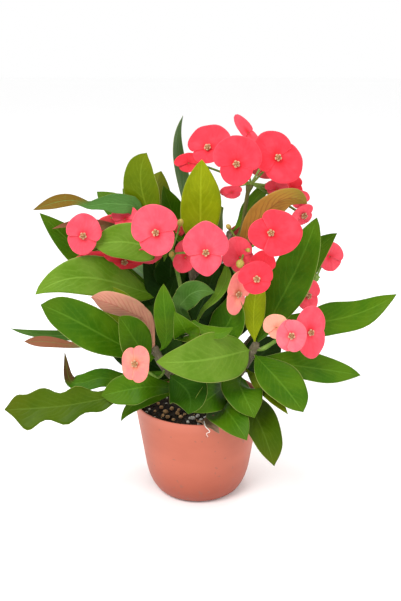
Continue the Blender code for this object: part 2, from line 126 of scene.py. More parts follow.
@dataclass
class Skin:
    """A closed mesh gathered from lofts, with a UV place, an underside mark and a material for each.

    Attributes:
        points: Vertex places, in metres.
        places: A UV pair for each vertex.
        under: 1 on an underside, 0 on a top side, for each vertex.
        faces: Vertex numbers of each face, turned outwards.
        finishes: Material number of each face.
    """

    points: list[Vector] = field(default_factory=list)
    places: list[tuple[float, float]] = field(default_factory=list)
    under: list[float] = field(default_factory=list)
    faces: list[tuple[int, ...]] = field(default_factory=list)
    finishes: list[int] = field(default_factory=list)

    def add_point(self, point: Vector, place: tuple[float, float], under: float) -> int:
        """Adds a vertex.

        Args:
            point: Its place, in metres.
            place: Its UV pair.
            under: 1 on an underside, 0 on a top side.

        Returns:
            Its number.
        """
        self.points.append(point)
        self.places.append(place)
        self.under.append(under)
        return len(self.points) - 1

    def add_face(self, face: tuple[int, ...], finish: int) -> None:
        """Adds a face with its material number."""
        self.faces.append(face)
        self.finishes.append(finish)

    def loft(self, rings: list[Ring], first: Vector, last: Vector, finish: int = 0) -> None:
        """Draws a closed skin over rings of equal count, shut by a pole at each end.

        Args:
            rings: Lists of (point, place, under) that run anticlockwise about the line's direction.
            first: Pole before the first ring.
            last: Pole after the last ring.
            finish: Material number of the faces.
        """
        loops = [[self.add_point(*entry) for entry in ring] for ring in rings]
        count = len(loops[0])
        for lower, upper in zip(loops, loops[1:]):
            for k in range(count):
                j = (k + 1) % count
                self.add_face((lower[k], lower[j], upper[j], upper[k]), finish)
        foot = self.add_point(first, (0.5, 0.0), 0.5)
        tip = self.add_point(last, (0.5, 1.0), 0.5)
        for k in range(count):
            j = (k + 1) % count
            self.add_face((loops[0][j], loops[0][k], foot), finish)
            self.add_face((loops[-1][k], loops[-1][j], tip), finish)

    def sheet(self, upper: list[Ring], under: list[Ring], finish: int = 0) -> None:
        """Draws a closed thin sheet over two grids of equal size.

        Args:
            upper: Rows of (point, place, under) for the top side, anticlockwise from above.
            under: The same for the underside.
            finish: Material number of the faces.
        """
        tops = [[self.add_point(*entry) for entry in row] for row in upper]
        lows = [[self.add_point(*entry) for entry in row] for row in under]
        columns = range(len(tops[0]) - 1)
        for top, next_top, low, next_low in zip(tops, tops[1:], lows, lows[1:]):
            for k in columns:
                self.add_face((top[k], top[k + 1], next_top[k + 1], next_top[k]), finish)
                self.add_face((low[k], next_low[k], next_low[k + 1], low[k + 1]), finish)
            self.add_face((top[0], next_top[0], next_low[0], low[0]), finish)
            self.add_face((next_top[-1], top[-1], low[-1], next_low[-1]), finish)
        for k in columns:
            self.add_face((tops[0][k + 1], tops[0][k], lows[0][k], lows[0][k + 1]), finish)
            self.add_face((tops[-1][k], tops[-1][k + 1], lows[-1][k + 1], lows[-1][k]), finish)

    def tube(self, path: list[Vector], radius: Callable[[float, float], float], sides: int, steps: int,
             finish: int = 0) -> None:
        """Draws a round tube with domed ends along a smooth path.

        Args:
            path: Points that the middle line passes through.
            radius: Function of (t, angle) that gives the radius in metres.
            sides: Points round the tube.
            steps: Rings along it.
            finish: Material number of the faces.
        """
        side = Vector((1, 0.3, 0.2)).normalized()
        rings = []
        for i in range(steps + 1):
            t = i / steps
            centre = spline(path, t)
            along = (spline(path, min(t + 0.01, 1)) - spline(path, max(t - 0.01, 0))).normalized()
            side = square_to(along, side)
            other = along.cross(side)
            ring = []
            for k in range(sides):
                a = FULL_TURN * k / sides
                out = side * math.cos(a) + other * math.sin(a)
                ring.append((centre + out * radius(t, a), (k / sides, t), 0.0))
            rings.append(ring)
            if i == 0:
                foot = centre - along * radius(0, 0) * 0.5
        self.loft(rings, foot, centre + along * radius(1, 0) * 0.6, finish)

    def blob(self, centre: Vector, axis: Vector, radii: tuple[float, float], finish: int = 0,
             sides: int = 8, rows: int = 5) -> None:
        """Draws a rounded grain.

        Args:
            centre: Its middle.
            axis: Its long direction.
            radii: Half sizes across and along the axis, in metres.
            finish: Material number of the faces.
            sides: Points round it.
            rows: Rings along it.
        """
        along = axis.normalized()
        side = square_to(along, Vector((0.3, 0.9, 0.1)))
        other = along.cross(side)
        rings = []
        for i in range(rows):
            b = math.pi * (i + 1) / (rows + 1)
            ring = []
            for k in range(sides):
                a = FULL_TURN * k / sides
                out = (side * math.cos(a) + other * math.sin(a)) * math.sin(b) * radii[0]
                ring.append((centre + out - along * math.cos(b) * radii[1], (k / sides, i / rows), 0.0))
            rings.append(ring)
        self.loft(rings, centre - along * radii[1], centre + along * radii[1], finish)

    def piece(self, name: str, materials: list[bpy.types.Material], slot: str,
              stands_for: tuple[str, ...] = ()) -> bpy.types.Object:
        """Makes the object of this skin and ties it to the frame.

        Args:
            name: The piece's name.
            materials: Blender materials, in the order of the faces' numbers.
            slot: The record's material slot; not used.
            stands_for: Frame nodes that the piece replaces.

        Returns:
            The finished object.
        """
        mesh = bpy.data.meshes.new(name)
        mesh.from_pydata([tuple(p) for p in self.points], [], self.faces)
        layer = mesh.uv_layers.new(name="Place")
        for loop in mesh.loops:
            layer.data[loop.index].uv = self.places[loop.vertex_index]
        mark = mesh.attributes.new("under", "FLOAT", "POINT")
        mark.data.foreach_set("value", self.under)
        for material in materials:
            mesh.materials.append(material)
        mesh.polygons.foreach_set("material_index", self.finishes)
        mesh.validate()
        mesh.shade_smooth()
        return tie(bpy.data.objects.new(name, mesh), stands_for)


def tie(thing: bpy.types.Object, stands_for: tuple[str, ...] = ()) -> bpy.types.Object:
    """Links an object and ties it to the frame's root body.

    Args:
        thing: The object.
        stands_for: Frame nodes that it replaces.

    Returns:
        The same object.
    """
    if thing.name not in bpy.context.scene.collection.objects:
        bpy.context.scene.collection.objects.link(thing)
    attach(thing, ROOT)
    if stands_for:
        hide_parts(*stands_for)
    return thing


# --- Reading the frame's solids ---


@dataclass
class Sections:
    """A lofted node's cross-sections, in order from its foot to its end.

    Attributes:
        rings: Points of each section, matched from one section to the next.
        foot: The pole before the first section.
        end: The pole after the last section.
    """

    rings: list[list[Vector]]
    foot: Vector
    end: Vector

    @classmethod
    def of_node(cls, name: str, count: int, slim_foot: bool) -> "Sections":
        """Reads a node whose solid is rings of equal count between two poles.

        Args:
            name: The frame node.
            count: Points in each ring.
            slim_foot: Whether the ring at the foot is the smaller of the two end rings.

        Returns:
            Its sections.
        """
        shape = bmesh.new()
        shape.from_mesh(frame["nodes"][name].data)
        bmesh.ops.remove_doubles(shape, verts=shape.verts, dist=WELD)
        shape.verts.index_update()
        points = [v.co.copy() for v in shape.verts]
        links = [{e.other_vert(v).index for e in v.link_edges} for v in shape.verts]
        shape.free()
        walks = [walk_layers(links, v) for v in range(len(points)) if len(links[v]) == count]
        found = [layers for layers in walks
                 if all(len(layer) == count for layer in layers[1:-1]) and len(layers[-1]) == 1]
        found.sort(key=lambda layers: spread([points[v] for v in layers[1]]), reverse=not slim_foot)
        layers = found[0]
        rings = []
        for layer in layers[1:-1]:
            ring = [points[v] for v in walk_round(layer, links)]
            rings.append(matched(rings[-1], ring) if rings else ring)
        return cls(rings, points[layers[0][0]], points[layers[-1][0]])

    def centres(self) -> list[Vector]:
        """The middle of each section."""
        return [mean(ring) for ring in self.rings]

    def radii(self) -> list[float]:
        """The mean radius of each section."""
        return [spread(ring) for ring in self.rings]


def walk_layers(links: list[set[int]], start: int) -> list[list[int]]:
    """Sorts a mesh's vertices by their distance, counted in edges, from one of them.

    Args:
        links: Neighbours of each vertex.
        start: The vertex to start from.

    Returns:
        Lists of vertex numbers, the start alone in the first.
    """
    seen = {start}
    layers = [[start]]
    while True:
        following = sorted({j for i in layers[-1] for j in links[i]} - seen)
        if not following:
            return layers
        seen |= set(following)
        layers.append(following)


def walk_round(layer: list[int], links: list[set[int]]) -> list[int]:
    """Puts one layer's vertices in order.

    Args:
        layer: The vertices of a ring, in any order.
        links: Neighbours of each vertex.

    Returns:
        The vertices in their order round the ring.
    """
    order = [layer[0]]
    while len(order) < len(layer):
        order.append(next(j for j in layer if j in links[order[-1]] and j not in order))
    return order


def mean(points: list[Vector]) -> Vector:
    """The mean of some points."""
    return sum(points, Vector()) / len(points)


def spread(points: list[Vector]) -> float:
    """The mean distance of points from their middle."""
    middle = mean(points)
    return sum((p - middle).length for p in points) / len(points)


def matched(before: list[Vector], ring: list[Vector]) -> list[Vector]:
    """Turns a ring, and reverses it if need be, so that it follows on from the one before.

    Args:
        before: The ring before.
        ring: The ring to turn.

    Returns:
        The ring's points in their new order.
    """
    a, b = mean(before), mean(ring)
    choices = [turn[k:] + turn[:k] for turn in (ring, ring[::-1]) for k in range(len(ring))]
    return min(choices, key=lambda c: sum(((p - b) - (q - a)).length for p, q in zip(c, before)))


# --- Finishes ---


class Graph:
    """Builds the node tree of one material."""

    def __init__(self, name: str, roughness: float, specular: float = 0.5) -> None:
        """Makes the material with its shader's plain values.

        Args:
            name: Material name.
            roughness: Roughness all over, unless a node is joined to it later.
            specular: Specular level all over.
        """
        self.material = bpy.data.materials.new(name)
        self.material.use_nodes = True
        self.nodes = self.material.node_tree.nodes
        self.shader = self.nodes["Principled BSDF"]
        self.shader.inputs["Roughness"].default_value = roughness
        self.shader.inputs["Specular IOR Level"].default_value = specular

    def node(self, kind: str, inputs: dict, output: str | int = 0, **settings) -> Socket:
        """Adds a node.

        Args:
            kind: Blender's node type.
            inputs: Input name or number to a value or a socket.
            output: Name or number of the socket to hand back.
            **settings: Node properties.

        Returns:
            The output socket.
        """
        made = self.nodes.new(kind)
        for key, value in settings.items():
            setattr(made, key, value)
        for key, value in inputs.items():
            self.join(value, made.inputs[key])
        return made.outputs[output]

    def join(self, value: "Socket | float | tuple", socket: Socket) -> None:
        """Puts a value on a socket.

        Args:
            value: A number, a vector, a colour or another node's output.
            socket: The input to fill.
        """
        if isinstance(value, bpy.types.NodeSocket):
            self.material.node_tree.links.new(value, socket)
        elif isinstance(value, tuple) and len(value) == 3 and socket.type == "RGBA":
            socket.default_value = (*value, 1.0)
        else:
            socket.default_value = value

    def calc(self, operation: str, a: "Socket | float", b: "Socket | float" = 0.0) -> Socket:
        """A Math node on two values."""
        return self.node("ShaderNodeMath", {0: a, 1: b}, operation=operation)

    def between(self, value: Socket, low: float, high: float) -> Socket:
        """0 below low and 1 above high, which may also run downwards."""
        span = {0: value, 1: low, 2: high}
        return self.node("ShaderNodeMapRange", span, interpolation_type="SMOOTHSTEP")

    def share(self, value: "Socket | float", factor: "Socket | float") -> Socket:
        """A value times a factor."""
        return self.calc("MULTIPLY", value, factor)

    def mix(self, factor: "Socket | float", a: "Socket | Colour", b: "Socket | Colour") -> Socket:
        """A colour between two others."""
        return self.node("ShaderNodeMix", {0: factor, 6: a, 7: b}, 2, data_type="RGBA")

    def grain(self, scale: float, detail: float = 3.0, stretch: tuple = (1, 1, 1),
              where: Socket | None = None) -> Socket:
        """Adds noise from 0 to 1.

        Args:
            scale: How fine it is.
            detail: Its octaves.
            stretch: Its scale along each axis.
            where: Place that it reads, or None for the object's own coordinates.

        Returns:
            The noise.
        """
        where = where or self.node("ShaderNodeTexCoord", {}, "Object")
        where = self.node("ShaderNodeMapping", {0: where, "Scale": stretch})
        return self.node("ShaderNodeTexNoise", {"Vector": where, "Scale": scale, "Detail": detail}, "Fac")

    def split(self, vector: Socket) -> tuple[Socket, Socket, Socket]:
        """Splits a vector.

        Args:
            vector: The vector.

        Returns:
            Its three parts.
        """
        parts = self.nodes.new("ShaderNodeSeparateXYZ")
        self.join(vector, parts.inputs[0])
        return tuple(parts.outputs)

    def off_middle(self, u: Socket) -> Socket:
        """0 on the middle line and 1 on both edges."""
        return self.share(self.calc("ABSOLUTE", self.calc("SUBTRACT", u, 0.5)), 2.0)

    def underside(self) -> Socket:
        """1 on the underside and 0 on the top side."""
        side = self.node("ShaderNodeAttribute", {}, "Fac", attribute_name="under")
        return self.between(side, 0.4, 0.6)

    def place(self) -> tuple[Socket, Socket, Socket]:
        """Reads the piece's own UV place.

        Returns:
            The place, its share across and its share along.
        """
        uv = self.node("ShaderNodeUVMap", {}, uv_map="Place")
        across, along, _ = self.split(uv)
        return uv, across, along

    def dress(self, colour: "Socket | Colour", height: Socket | None = None, depth: float = 0.0002,
              strength: float = 0.6) -> bpy.types.Material:
        """Joins the colour and an optional relief to the shader.

        Args:
            colour: Colour socket or value.
            height: Relief socket.
            depth: Relief's depth in metres.
            strength: How strongly the relief shows.

        Returns:
            The material.
        """
        self.join(colour, self.shader.inputs["Base Color"])
        if height is not None:
            bump = {"Strength": strength, "Distance": depth, "Height": height}
            normal = self.node("ShaderNodeBump", bump)
            self.join(normal, self.shader.inputs["Normal"])
        return self.material


@dataclass(frozen=True)
class LeafFinish:
    """Waxy leaf with a rib, side veins, a thin pale margin and an underside of its own colour.

    Attributes:
        name: Material name.
        upper: Colour of the top side.
        second: Colour of its mottling.
        lower: Colour of the underside.
        tip: Colour towards the tip.
        turn_at: Shares of the length between which the tip's colour takes over, and how fully.
        margin: Colour of the thin edge.
        vein: Colour of the underside's veins.
        roughness: Mean roughness.
    """

    name: str
    upper: Colour
    second: Colour
    lower: Colour
    tip: tuple
    turn_at: tuple[float, float, float] = (0.72, 1.0, 0.6)
    margin: Colour = (0.42, 0.44, 0.12)
    vein: Colour = (0.10, 0.10, 0.01)
    roughness: float = 0.42

    def make(self) -> bpy.types.Material:
        """Builds the material.

        Returns:
            The material.
        """
        graph = Graph(self.name, self.roughness, 0.08)
        _, u, v = graph.place()
        off_rib = graph.off_middle(u)
        blotch, fine, under = graph.grain(46.0, 4.0), graph.grain(420.0, 2.0), graph.underside()
        upper = graph.mix(graph.between(blotch, 0.36, 0.66), self.upper, self.second)
        shade = tuple(0.66 * c for c in self.lower)
        lower = graph.mix(graph.between(blotch, 0.3, 0.75), self.lower, shade)
        body = graph.mix(under, upper, lower)
        start, end, full = self.turn_at
        skew = graph.calc("ADD", v, graph.share(graph.calc("SUBTRACT", u, 0.5), 0.10))
        body = graph.mix(graph.share(graph.between(skew, start, end), full), body, self.tip)
        slant = graph.calc("SUBTRACT", graph.share(v, 44.0), graph.share(off_rib, 11.0))
        waver = graph.calc("ADD", slant, graph.share(blotch, 8.0))
        vein = graph.calc("POWER", graph.calc("ABSOLUTE", graph.calc("SINE", waver)), 9.0)
        vein = graph.share(vein, graph.between(off_rib, 0.98, 0.35))
        rib = graph.between(off_rib, 0.060, 0.014)
        pale = tuple(min(1.0, 1.5 * c + 0.012) for c in self.second)
        lines = graph.mix(under, pale, self.vein)
        body = graph.mix(graph.share(vein, graph.calc("ADD", graph.share(under, 0.3), 0.14)), body, lines)
        body = graph.mix(graph.share(rib, 0.5), body, lines)
        body = graph.mix(graph.share(graph.between(fine, 0.5, 0.8), 0.15), body, pale)
        body = graph.mix(graph.share(graph.between(off_rib, 0.962, 0.99), 0.55), body, self.margin)
        relief = graph.calc("ADD", graph.share(vein, -0.5), graph.share(fine, 0.35))
        relief = graph.calc("ADD", relief, graph.share(rib, graph.calc("SUBTRACT", under, 0.6)))
        span = {3: self.roughness - 0.08, 4: self.roughness + 0.12}
        rough = graph.node("ShaderNodeMapRange", {0: blotch, **span})
        graph.join(rough, graph.shader.inputs["Roughness"])
        return graph.dress(body, relief, 0.0003, 0.55)


@dataclass(frozen=True)
class BractFinish:
    """Soft bract: deeper colour at its heart, fine streaks outwards and a thin pale edge.

    Attributes:
        name: Material name.
        heart: Colour near the cup.
        blade: Colour of the outer part.
        back: Colour of the underside.
        edge: Colour of the thin edge.
    """

    name: str
    heart: Colour
    blade: Colour
    back: Colour
    edge: Colour

    def make(self) -> bpy.types.Material:
        """Builds the material.

        Returns:
            The material.
        """
        graph = Graph(self.name, 0.6, 0.12)
        uv, u, v = graph.place()
        streak, cloud = graph.grain(5.0, 3.0, (6.0, 0.6, 1.0), uv), graph.grain(120.0, 2.0)
        body = graph.mix(graph.between(v, 0.05, 0.50), self.heart, self.blade)
        body = graph.mix(graph.share(graph.between(streak, 0.40, 0.75), 0.25), body, self.heart)
        body = graph.mix(graph.share(graph.between(cloud, 0.40, 0.80), 0.25), body, self.edge)
        body = graph.mix(graph.underside(), body, self.back)
        rim = graph.between(graph.off_middle(u), 0.97, 1.0)
        rim = graph.calc("MAXIMUM", rim, graph.between(v, 0.965, 1.0))
        body = graph.mix(graph.share(rim, 0.45), body, self.edge)
        graph.shader.inputs["Subsurface Weight"].default_value = 0.12
        graph.shader.inputs["Subsurface Radius"].default_value = (0.004, 0.001, 0.001)
        return graph.dress(body, streak, 0.0002, 0.5)


@dataclass(frozen=True)
class GrainFinish:
    """A natural surface of three tones, mottled at two scales, with its own relief.

    Attributes:
        name: Material name.
        tones: Its two main colours and the colour of its specks.
        coarse: Scale of the broad mottling.
        fine: Scale of the specks.
        roughness: Roughness all over.
        depth: Relief's depth, in metres.
        stretch: Scale of both along each axis.
        strength: How strongly the relief shows.
    """

    name: str
    tones: tuple[Colour, Colour, Colour]
    coarse: float
    fine: float
    roughness: float
    depth: float
    stretch: tuple = (1, 1, 1)
    strength: float = 0.6

    def make(self) -> bpy.types.Material:
        """Builds the material.

        Returns:
            The material.
        """
        graph = Graph(self.name, self.roughness, 0.4)
        broad = graph.grain(self.coarse, 5.0, self.stretch)
        small = graph.grain(self.fine, 3.0, self.stretch)
        body = graph.mix(graph.between(broad, 0.34, 0.66), self.tones[0], self.tones[1])
        body = graph.mix(graph.between(small, 0.52, 0.82), body, self.tones[2])
        relief = graph.calc("ADD", broad, graph.share(small, 0.6))
        return graph.dress(body, relief, self.depth, self.strength)


@dataclass(frozen=True)
class PotFinish:
    """Thin dyed plastic with a satin skin, faint flow marks and specks of soil, with painted shade
    darkening its foot and a band of painted light along its top.
    """

    name: str = "pot_plastic"

    def make(self) -> bpy.types.Material:
        """Builds the material.

        Returns:
            The material.
        """
        graph = Graph(self.name, 0.42, 0.35)
        height = graph.split(graph.node("ShaderNodeTexCoord", {}, "Object"))[2]
        flow = graph.grain(16.0, 3.0, (1, 1, 2.2))
        skin, speck = graph.grain(900.0, 2.0), graph.grain(230.0, 1.0)
        body = graph.mix(graph.between(flow, 0.35, 0.68), (0.480, 0.122, 0.070), (0.425, 0.104, 0.058))
        for mark, low, high, full, colour in (
                # Painted shade: the wall darkens towards its foot.
                (height, 0.045, 0.0, 0.8, (0.30, 0.055, 0.026)),
                # Painted light: a paler band along the top of the wall, where the thin rim catches the
                # light.
                (height, 0.070, 0.081, 0.35, (0.62, 0.19, 0.13)),
                (speck, 0.70, 0.74, 0.5, (0.25, 0.10, 0.07))):
            body = graph.mix(graph.share(graph.between(mark, low, high), full), body, colour)
        rough = graph.node("ShaderNodeMapRange", {0: flow, 3: 0.36, 4: 0.52})
        graph.join(rough, graph.shader.inputs["Roughness"])
        return graph.dress(body, graph.calc("ADD", flow, graph.share(skin, 0.12)), 0.0002, 0.35)


class Leafage(Enum):
    """The leaf colours on the plant, from young growth to old, and two darker greens of painted shade."""

    YOUNG = LeafFinish("leaf_young", (0.195, 0.245, 0.0), (0.25, 0.3, 0.002), (0.2, 0.26, 0.002),
                       (0.3, 0.33, 0.002))
    LIGHT = LeafFinish("leaf_light", (0.088, 0.185, 0.008), (0.125, 0.225, 0.02),
                       (0.13, 0.19, 0.022), (0.125, 0.22, 0.012))
    MID = LeafFinish("leaf_mid", (0.05, 0.14, 0.001), (0.078, 0.168, 0.002), (0.085, 0.14, 0.006),
                     (0.08, 0.155, 0.002))
    DARK = LeafFinish("leaf_dark", (0.034, 0.11, 0.001), (0.062, 0.145, 0.002), (0.06, 0.11, 0.006),
                      (0.065, 0.13, 0.002))
    # Painted shade: a near-black green for filler leaves that stand for the deep shade inside the crown.
    PAINTED_SHADE_FILL = LeafFinish("leaf_painted_shade_fill", (0.007, 0.028, 0.001), (0.012, 0.04, 0.001), (0.01, 0.03, 0.002),
                      (0.012, 0.035, 0.001), margin=(0.04, 0.06, 0.01))
    # Painted shade: a darker copy of the green for the front leaf that hangs in shade.
    SHADED = LeafFinish("leaf_shaded", (0.015, 0.062, 0.001), (0.028, 0.085, 0.002),
                        (0.028, 0.065, 0.004), (0.032, 0.085, 0.002))
    DULL = LeafFinish("leaf_dull", (0.04, 0.084, 0.0), (0.056, 0.1, 0.001), (0.07, 0.09, 0.003),
                      (0.08, 0.095, 0.001))
    OLIVE = LeafFinish("leaf_olive", (0.088, 0.142, 0.0), (0.118, 0.17, 0.001),
                       (0.12, 0.145, 0.004), (0.145, 0.17, 0.001))
    BLUE = LeafFinish("leaf_blue", (0.042, 0.112, 0.012), (0.072, 0.15, 0.028), (0.06, 0.12, 0.02),
                      (0.06, 0.125, 0.014))
    BRONZE = LeafFinish("leaf_bronze", (0.06, 0.15, 0.03), (0.075, 0.165, 0.035),
                        (0.48, 0.225, 0.04), (0.15, 0.14, 0.014), (0.62, 0.95, 0.75),
                        (0.36, 0.24, 0.1), (0.22, 0.06, 0.02))
    TWISTED = LeafFinish("leaf_twisted", (0.058, 0.15, 0.026), (0.075, 0.175, 0.036),
                         (0.075, 0.16, 0.035), (0.165, 0.078, 0.006), (0.5, 0.68, 0.92),
                         (0.26, 0.2, 0.06), (0.09, 0.04, 0.01))
    PINK = LeafFinish("leaf_pink", (0.06, 0.2, 0.02), (0.1, 0.24, 0.03), (0.56, 0.255, 0.165),
                      (0.54, 0.22, 0.16), (0.4, 0.9, 0.6), (0.55, 0.3, 0.16), (0.36, 0.085, 0.06))
    RED = LeafFinish("leaf_red", (0.06, 0.13, 0.03), (0.09, 0.15, 0.04), (0.15, 0.07, 0.035),
                     (0.26, 0.085, 0.045), (0.3, 0.62, 0.95), (0.3, 0.14, 0.08), (0.07, 0.02, 0.01))
    CURLED = LeafFinish("leaf_curled", (0.04, 0.135, 0.002), (0.065, 0.16, 0.003),
                        (0.08, 0.11, 0.01), (0.085, 0.032, 0.014), (0.7, 0.82, 0.96),
                        (0.2, 0.13, 0.04), (0.03, 0.01, 0.005))
    DRY = LeafFinish("leaf_dry", (0.33, 0.2, 0.12), (0.2, 0.11, 0.065), (0.26, 0.15, 0.09),
                     (0.42, 0.29, 0.2), (0.6, 1.0, 0.6), (0.42, 0.3, 0.2), (0.08, 0.04, 0.02), 0.8)


class Bracts(Enum):
    """The bract colours, from fresh to old."""

    ROSE = BractFinish("bract_rose", (0.66, 0.012, 0.02), (0.83, 0.034, 0.056), (0.74, 0.06, 0.07),
                       (0.88, 0.11, 0.15))
    CORAL = BractFinish("bract_coral", (0.7, 0.022, 0.036), (0.84, 0.07, 0.105), (0.76, 0.08, 0.1),
                        (0.9, 0.18, 0.22))
    PALE = BractFinish("bract_pale", (0.64, 0.13, 0.07), (0.83, 0.205, 0.19), (0.78, 0.22, 0.18),
                       (0.86, 0.52, 0.26))
    SALMON = BractFinish("bract_salmon", (0.72, 0.05, 0.06), (0.845, 0.125, 0.165),
                         (0.78, 0.12, 0.14), (0.9, 0.3, 0.3))
    CREAM = BractFinish("bract_cream", (0.8, 0.24, 0.16), (0.85, 0.345, 0.25), (0.8, 0.33, 0.24),
                        (0.86, 0.64, 0.26))


class Ground(Enum):
    """The remaining finishes."""

    POT = PotFinish()
    BARK = GrainFinish("bark", ((0.105, 0.088, 0.05), (0.185, 0.15, 0.09), (0.33, 0.28, 0.2)),
                       130.0, 620.0, 0.85, 0.0006, (1, 1, 0.35), 0.9)
    GREENWOOD = GrainFinish("greenwood", ((0.12, 0.23, 0.022), (0.19, 0.31, 0.045),
                            (0.3, 0.38, 0.09)), 150.0, 700.0, 0.6, 0.0003, (1, 1, 0.4))
    BROWNWOOD = GrainFinish("brownwood", ((0.085, 0.11, 0.015), (0.13, 0.12, 0.025),
                            (0.18, 0.16, 0.05)), 150.0, 700.0, 0.6, 0.0003, (1, 1, 0.4))
    THORN = GrainFinish("thorn", ((0.15, 0.11, 0.08), (0.24, 0.19, 0.14), (0.33, 0.28, 0.22)),
                        300.0, 900.0, 0.6, 0.0001)
    SOIL = GrainFinish("soil", ((0.01, 0.007, 0.005), (0.03, 0.019, 0.012), (0.07, 0.045, 0.028)),
                       170.0, 640.0, 0.95, 0.0012, strength=1.0)
    PEAT = GrainFinish("peat_crumb", ((0.022, 0.013, 0.008), (0.055, 0.033, 0.02),
                       (0.11, 0.07, 0.04)), 260.0, 900.0, 0.95, 0.0004)
    TAN = GrainFinish("tan_grain", ((0.56, 0.3, 0.13), (0.72, 0.45, 0.22), (0.86, 0.66, 0.4)),
                      260.0, 900.0, 0.85, 0.0003)
    PERLITE = GrainFinish("perlite", ((0.7, 0.69, 0.62), (0.82, 0.81, 0.75), (0.9, 0.89, 0.84)),
                          400.0, 1200.0, 0.8, 0.0003)
    GLAND = GrainFinish("gland", ((0.4, 0.2, 0.1), (0.6, 0.35, 0.2), (0.8, 0.56, 0.36)), 500.0,
                        1500.0, 0.5, 0.0001)
    CUP = GrainFinish("flower_cup", ((0.25, 0.1, 0.03), (0.38, 0.16, 0.05), (0.5, 0.27, 0.09)),
                      500.0, 1500.0, 0.6, 0.0001)
    BUD = GrainFinish("bud", ((0.3, 0.25, 0.03), (0.43, 0.31, 0.055), (0.56, 0.36, 0.11)), 300.0,
                      900.0, 0.5, 0.0001)


_finished: dict[str, bpy.types.Material] = {}


def material_of(kind: Enum) -> bpy.types.Material:
    """Finds a finish's material.

    Args:
        kind: The finish.

    Returns:
        Its Blender material, made once.
    """
    if kind.value.name not in _finished:
        _finished[kind.value.name] = kind.value.make()
    return _finished[kind.value.name]


# --- Leaves and bracts ---


